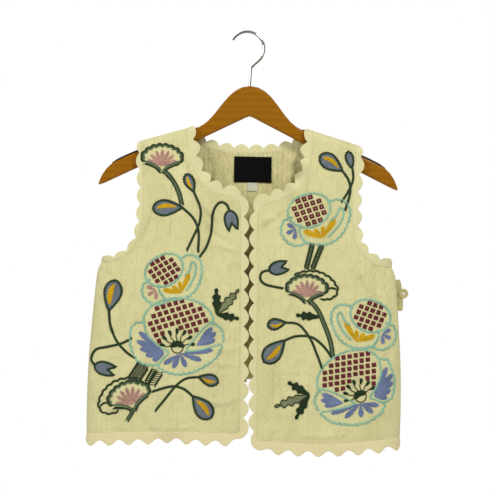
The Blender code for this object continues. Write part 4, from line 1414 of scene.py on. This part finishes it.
def edge_row(front, cut):
    side, (first, middle, last) = cut["side"], cut["hem"]
    run = np.vstack([smooth_run(cut["neck"])[::-1], [[cut["low"], first]]])
    inner = run + EDGE_ROW * left_of(np.gradient(run, axis=0))
    below, above = inner[:, 1] < shoulder_z(inner[:, 0]) - BELOW_SHOULDER, inner[:, 1] > first + EDGE_ROW
    inner = inner[below & above]
    hem = [(cut["low"] + EDGE_ROW, first), (HEM_MIDDLE, middle), (HEM_END, last)]
    for path in (inner, smooth_run(hem) + (0, EDGE_ROW)):
        path = path * (side, 1)
        marks = np.arange(ROW_START, lengths_along(path)[-1] - ROW_START, EDGE_STEP)
        sew(front, "cream", at_distance(path, marks), headings(path, marks, 0.5), *EDGE_STITCH)


edge_row("right", FRONT_RIGHT)
edge_row("left", FRONT_LEFT)
print("cream stitches", sum(len(part) for front in ("right", "left") for part in sewn[front, "cream"]))

# %% [markdown]
# ## From stitches to meshes
#
# The stitches were laid out flat. Each corner is now carried onto the hanging front:
# its place gives a point of the cloth, and its height goes along the cloth's outward
# direction, so the embroidery follows every crease.

# %% From stitches to meshes
WOOLS = {
    "dark_green": (0.026, 0.048, 0.020), "mid_green": (0.115, 0.165, 0.085), "aqua": (0.30, 0.52, 0.37),
    "burgundy": (0.165, 0.034, 0.038), "gold": (0.66, 0.40, 0.012), "pink": (0.52, 0.29, 0.235),
    "slate": (0.19, 0.225, 0.26), "blue": (0.095, 0.135, 0.31), "pale_blue": (0.25, 0.31, 0.43),
    "sage": (0.26, 0.285, 0.15), "cream": (0.66, 0.60, 0.34),
}
WOOL_DARK = 0.72               # shares of a wool's colour in its dark and light fibres
WOOL_LIGHT = 1.25


def wool_group():
    group, given, put = new_group("Wool", [("Fleck", 900), ("Patch", 70)], ["Shade", "Fuzz"])
    place = object_place(group)
    fleck, patch = (noise(group, place, given[scale]) for scale in ("Fleck", "Patch"))
    both = maths(group, "ADD", maths(group, "MULTIPLY", fleck, 0.65), maths(group, "MULTIPLY", patch, 0.35))
    put_out(group, put, Shade=ranged(group, both, 0.35, 0.65), Fuzz=fleck)
    return group


WOOL = wool_group()


def wool_material(colour, rgb):
    made, tree, shader = new_material("wool_" + colour, 0.88, Specular_IOR_Level=0.15)
    wool = placed_group(tree, WOOL)
    dark, light = ([share * value for value in rgb] for share in (WOOL_DARK, WOOL_LIGHT))
    tree.links.new(mixed(tree, wool["Shade"], dark, light), shader.inputs["Base Color"])
    add_bump(tree, shader, wool["Fuzz"], 0.0003)
    return made


WOOL_FINISH = {colour: wool_material(colour, rgb) for colour, rgb in WOOLS.items()}


def on_front(side, u, z, height):
    """World points, in millimetres, at a height above a front's outer face."""
    w = side * u
    edge, fall = to_side(w, z), shoulder_z(w) - z
    hang = HANGS["front_right" if side < 0 else "front_left"]
    points = np.stack([CENTRE_X + u, -(SEAM_HALF + depth(u, z, edge, fall, hang)), z], axis=-1)
    out = cloth_directions(points, w, z, edge, fall, hang, side, -1)
    return points + out * (CLOTH / 2 + height)[..., None]


def stitch_mesh(front, colour, parts):
    """One mesh of all the stitches of one colour on one front."""
    laid = np.vstack(parts)
    u, z, angle, length, width, height, lift = laid.T[:, :, None]
    along, across, up = STITCH.T
    c, s = np.cos(angle), np.sin(angle)
    corner_u = u + along * length * c - across * width * s
    corner_z = z + along * length * s + across * width * c
    points = on_front(-1 if front == "right" else 1, corner_u, corner_z, lift + up * height - SUNK)
    first = np.arange(len(laid))[:, None, None] * len(STITCH)
    quads = (np.array(STITCH_QUADS) + first).reshape(-1, 4).tolist()
    ends = (np.array(STITCH_ENDS) + first).reshape(-1, 3).tolist()
    obj = mesh_object(f"embroidery_{front}_{colour}", points.reshape(-1, 3), quads + ends)
    obj.data.materials.append(WOOL_FINISH[colour])
    return obj


embroidery = {(front, colour): stitch_mesh(front, colour, parts) for (front, colour), parts in sewn.items()}
print("triangles of embroidery", 24 * sum(len(part) for parts in sewn.values() for part in parts))

# %% [markdown]
# ## Hanger
#
# The hanger is one board of varnished wood. Its CAD shape is right, so it only needs a
# finish: long grain from noise that is stretched along the board, and a clear coat for
# the varnish. The hook is polished wire and the strips on the arms are rubber.

# %% Hanger


def grain_group():
    group, given, put = new_group("Wood grain", [("Rings", 620), ("Streaks", 900)], ["Grain", "Pores"])
    place = object_place(group)
    height = axes_of(group, place)[2]
    bent = maths(group, "MULTIPLY", noise(group, stretched(group, place, (5, 20, 20)), 1, 3), 9)
    rings = maths(group, "SINE", maths(group, "ADD", maths(group, "MULTIPLY", height, given["Rings"]), bent))
    inputs = {0: place, "Scale": given["Streaks"]}
    fine = add_node(group, "ShaderNodeVectorMath", inputs, operation="SCALE").outputs[0]
    pores = noise(group, stretched(group, fine, (0.03, 1, 1)), 1, 3)
    put_out(group, put, Grain=ranged(group, maths(group, "ADD", rings, pores), -0.6, 1.6), Pores=pores)
    return group


def wood_material():
    made, tree, shader = new_material(
        "varnished_wood", 0.5, Specular_IOR_Level=0.08, Coat_Weight=0.06, Coat_Roughness=0.15)
    grain = placed_group(tree, grain_group())
    colour = mixed(tree, grain["Grain"], (0.275, 0.102, 0.001), (0.312, 0.122, 0.0015))
    tree.links.new(colour, shader.inputs["Base Color"])
    add_bump(tree, shader, grain["Pores"], 0.0002)
    return made


def speckled_material(name, dark, light, rough, scale, bump, **constants):
    """A plain material whose colour, roughness and surface vary a little."""
    made, tree, shader = new_material(name, rough, **constants)
    spots = noise(tree, object_place(tree), scale, 3)
    tree.links.new(mixed(tree, ranged(tree, spots, 0.35, 0.65), dark, light), shader.inputs["Base Color"])
    tree.links.new(ranged(tree, spots, 0.3, 0.7, 0.8 * rough, 1.2 * rough), shader.inputs["Roughness"])
    add_bump(tree, shader, spots, bump)
    return made


def finish_node(name, finish):
    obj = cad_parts[name]
    obj.data.materials.clear()
    obj.data.materials.append(finish)
    obj.data.shade_smooth()
    print(name, "is now", finish.name)


CHROME = speckled_material(
    "polished_wire", (0.30, 0.28, 0.25), (0.42, 0.40, 0.36), 0.16, 400, 0.00002, Metallic=1)
RUBBER = speckled_material("grip_rubber", (0.010, 0.010, 0.012), (0.022, 0.022, 0.024), 0.65, 900, 0.0001)
HORN = speckled_material(
    "cream_button", (0.46, 0.39, 0.15), (0.56, 0.48, 0.20), 0.3, 160, 0.00003, Coat_Weight=0.3)
finish_node("hanger_body", wood_material())
finish_node("hanger_hook", CHROME)
finish_node("side_button", HORN)

# %% [markdown]
# ## Non-slip strips
#
# A ribbed rubber strip lies on the top edge of each arm. It is a half-round section
# carried along the board's upper edge, thinner at both ends, with shallow ribs across.

# %% Non-slip strips
GRIP_TOP = [
    (78, -142.7), (93, -149.3), (110, -156.4), (132, -165.4), (154, -174.6),
    (174, -183), (190, -190.6), (203, -197.5),
]
GRIP_HALF = 4.6
GRIP_THICK = 2.2
GRIP_LIFT = 0.15
GRIP_END = 0.35                # thickness at the ends, as a share
GRIP_RIB = 0.12                # depth of the ribs, as a share of the thickness
GRIP_ROUND = 0.6


def grip_piece(side):
    run = smooth_run(GRIP_TOP, 14)
    share = np.linspace(0, 1, len(run))
    tall = GRIP_THICK * np.minimum(1, GRIP_END + 6 * np.minimum(share, 1 - share))
    tall = tall * (1 - GRIP_RIB * (np.arange(len(run)) % 2))
    up = left_of(np.gradient(run, axis=0))
    turn = np.linspace(0, math.pi, 9)
    rise = GRIP_LIFT + tall[:, None] * np.sin(turn) ** GRIP_ROUND
    y = GRIP_HALF * np.cos(turn) + 0 * rise
    loops = np.stack([
        CENTRE_X + side * (run[:, :1] + up[:, :1] * rise), y, run[:, 1:] + up[:, 1:] * rise,
    ], axis=-1)
    return solid_strip("grip_right" if side < 0 else "grip_left", loops)


for side, node in ((-1, "grip_strip_right"), (1, "grip_strip_left")):
    grip = grip_piece(side)
    dress(grip, RUBBER, node)
    print(grip.name, "has", len(grip.data.polygons), "faces")

# %% [markdown]
# ## Labels and tab
#
# A plain black label and a small care label are sewn inside the back neck, and a
# doubled tab of the cloth stands out of the side seam. They are thin sheets that lie
# on the lining, with corners that lift a little, so they read as woven tape.

# %% Labels and tab
LABELS = {
    "neck_label": {"x": 6.5, "top": -183.4, "width": 56, "height": 38.5, "thick": 0.7, "lift": 0.5},
    "care_label": {"x": 6.5, "top": -222.4, "width": 15, "height": 12.5, "thick": 0.5, "lift": 0.5},
}
LABEL_CURL = 1.2
LABEL_COLUMNS = 29
LABEL_ROWS = 19
TAB = [(-363, 5), (-366, 7), (-381, 8), (-395, 8.5), (-406, 7.5), (-409.5, 5)]
TAB_Y = 3.4
TAB_THICK = 1.8
TAB_GAP = 0.35
TAB_BOW = 0.5
TAB_WAVE = 0.35
TAB_WAVE_RATE = 0.31           # radians for each millimetre of height


def thin_sheet(name, points, thickness):
    rows, columns, _ = points.shape
    obj = mesh_object(name, points.reshape(-1, 3), grid_faces(rows, columns))
    thicken(obj, thickness)
    return obj


def tape_material(name, dark, light, rough):
    made, tree, shader = new_material(name, rough, Specular_IOR_Level=0.1)
    tape = placed_group(tree, COTTON, Thread=0.0007)
    tree.links.new(mixed(tree, tape["Crinkle"], dark, light), shader.inputs["Base Color"])
    add_bump(tree, shader, tape["Weave"], 0.00006)
    return made


def label_piece(name, size):
    """A label on the inside of the back, its lower corners lifting off the cloth."""
    across, down = np.meshgrid(np.linspace(-0.5, 0.5, LABEL_COLUMNS), np.linspace(0, 1, LABEL_ROWS))
    x = CENTRE_X + size["x"] + size["width"] * across
    z = size["top"] - size["height"] * down
    u = x - CENTRE_X
    w = np.abs(u)
    behind = SEAM_HALF + depth(u, z, to_side(w, z), shoulder_z(w) - z, HANGS["back"])
    curl = LABEL_CURL * down ** 3 * (2 * np.abs(across)) ** 3
    y = behind - CLOTH / 2 - size["lift"] - size["thick"] / 2 - curl
    return thin_sheet(name + "_tape", np.stack([x, y, z], axis=-1), size["thick"])


def tab_piece():
    """A small double tab, caught at its inner edge in the left side seam."""
    run = smooth_run(TAB, 5)
    share = np.linspace(0, 1, 7)[None, :]
    z = run[:, :1] + 0 * share
    x = CENTRE_X + side_width(z) + CLOTH / 2 + TAB_GAP + run[:, 1:] * share
    y = TAB_Y - TAB_BOW * np.sin(math.pi * share) + TAB_WAVE * np.sin(TAB_WAVE_RATE * z)
    return thin_sheet("tab_cloth", np.stack([x, y, z], axis=-1), TAB_THICK)


labels = {name: label_piece(name, size) for name, size in LABELS.items()}
tab = tab_piece()
BLACK_TAPE = tape_material("black_tape", (0.002, 0.002, 0.002), (0.005, 0.005, 0.005), 0.95)
PALE_TAPE = tape_material("care_tape", (0.62, 0.61, 0.46), (0.72, 0.71, 0.56), 0.8)
# The tab is a darker, more saturated copy of the cream cotton: partly its own ochre, partly painted shade for
# its place in the side seam's gap.
TAB_PAINTED_SHADE_FINISH = cotton_material("tab_cotton_painted_shade", (0.60, 0.54, 0.235), (0.51, 0.45, 0.18))
dress(labels["neck_label"], BLACK_TAPE, "neck_label")
dress(labels["care_label"], PALE_TAPE, "care_label")
dress(tab, TAB_PAINTED_SHADE_FINISH, "side_tab")
print("labels and tab", [piece.name for piece in (*labels.values(), tab)])

# %% [markdown]
# ## Sizes of the cut
#
# Each piece of cloth is listed with the size it was cut to, and the sizes are
# printed. They are measured on the grids.

# %% Sizes of the cut


def cut_size(*grids):
    """Widest row, longest column and area of grids that lie side by side, in metres."""
    widths = sum(np.linalg.norm(np.diff(g, axis=1), axis=-1).sum(axis=1) for g in grids)
    longest = max(np.linalg.norm(np.diff(g, axis=0), axis=-1).sum(axis=0).max() for g in grids)
    area = 0
    for g in grids:
        crossed = np.cross(g[1:, 1:] - g[:-1, :-1], g[1:, :-1] - g[:-1, 1:])
        area += np.linalg.norm(crossed, axis=-1).sum() / 2
    return (widths.max() * MM, longest * MM), min(area * MM * MM, widths.max() * longest * MM * MM)


CAUGHT = 0.0015                # width of an edging or tab that is caught inside its seam


def strip_size(obj):
    """Length and width of an edging strip, and its area, from the loops of its mesh."""
    spots = np.array([v.co[:] for v in obj.data.vertices]).reshape(-1, 2 * len(SECTION) + 1, 3)
    inner, rim = spots[:, 0], spots[:, len(SECTION)]
    steps = np.linalg.norm(np.diff(inner, axis=0), axis=1)
    widths = np.linalg.norm(rim - inner, axis=1)
    area = float((steps * ((widths[1:] + widths[:-1]) / 2 + CAUGHT)).sum())
    return (float(steps.sum()), float(widths.max()) + CAUGHT), area


def label_size(name):
    return LABELS[name]["width"] * MM, LABELS[name]["height"] * MM


TAB_CUT = (0.0467, 0.0085 + CAUGHT)
SEWN_ON = {
    front: [obj for (where, _), obj in embroidery.items() if where == front] for front in ("right", "left")
}
CUTS = [
    (cloth_right, cut_size(right[0]), "hanger_body", SEWN_ON["right"]),
    (cloth_left, cut_size(left[0]), "hanger_body", SEWN_ON["left"]),
    (cloth_back, cut_size(backs[-1][0], backs[1][0]), "hanger_body", []),
    *((strip, strip_size(strip), carrier, []) for strip, carrier in EDGINGS.values()),
    *((piece, (label_size(name), None), cloth_back, []) for name, piece in labels.items()),
    (tab, (TAB_CUT, None), cloth_left, []),
]
for piece, (flat, area), carrier, trims in CUTS:
    print(piece.name, "cut", [round(1000 * side) for side in flat], "mm, area", area)
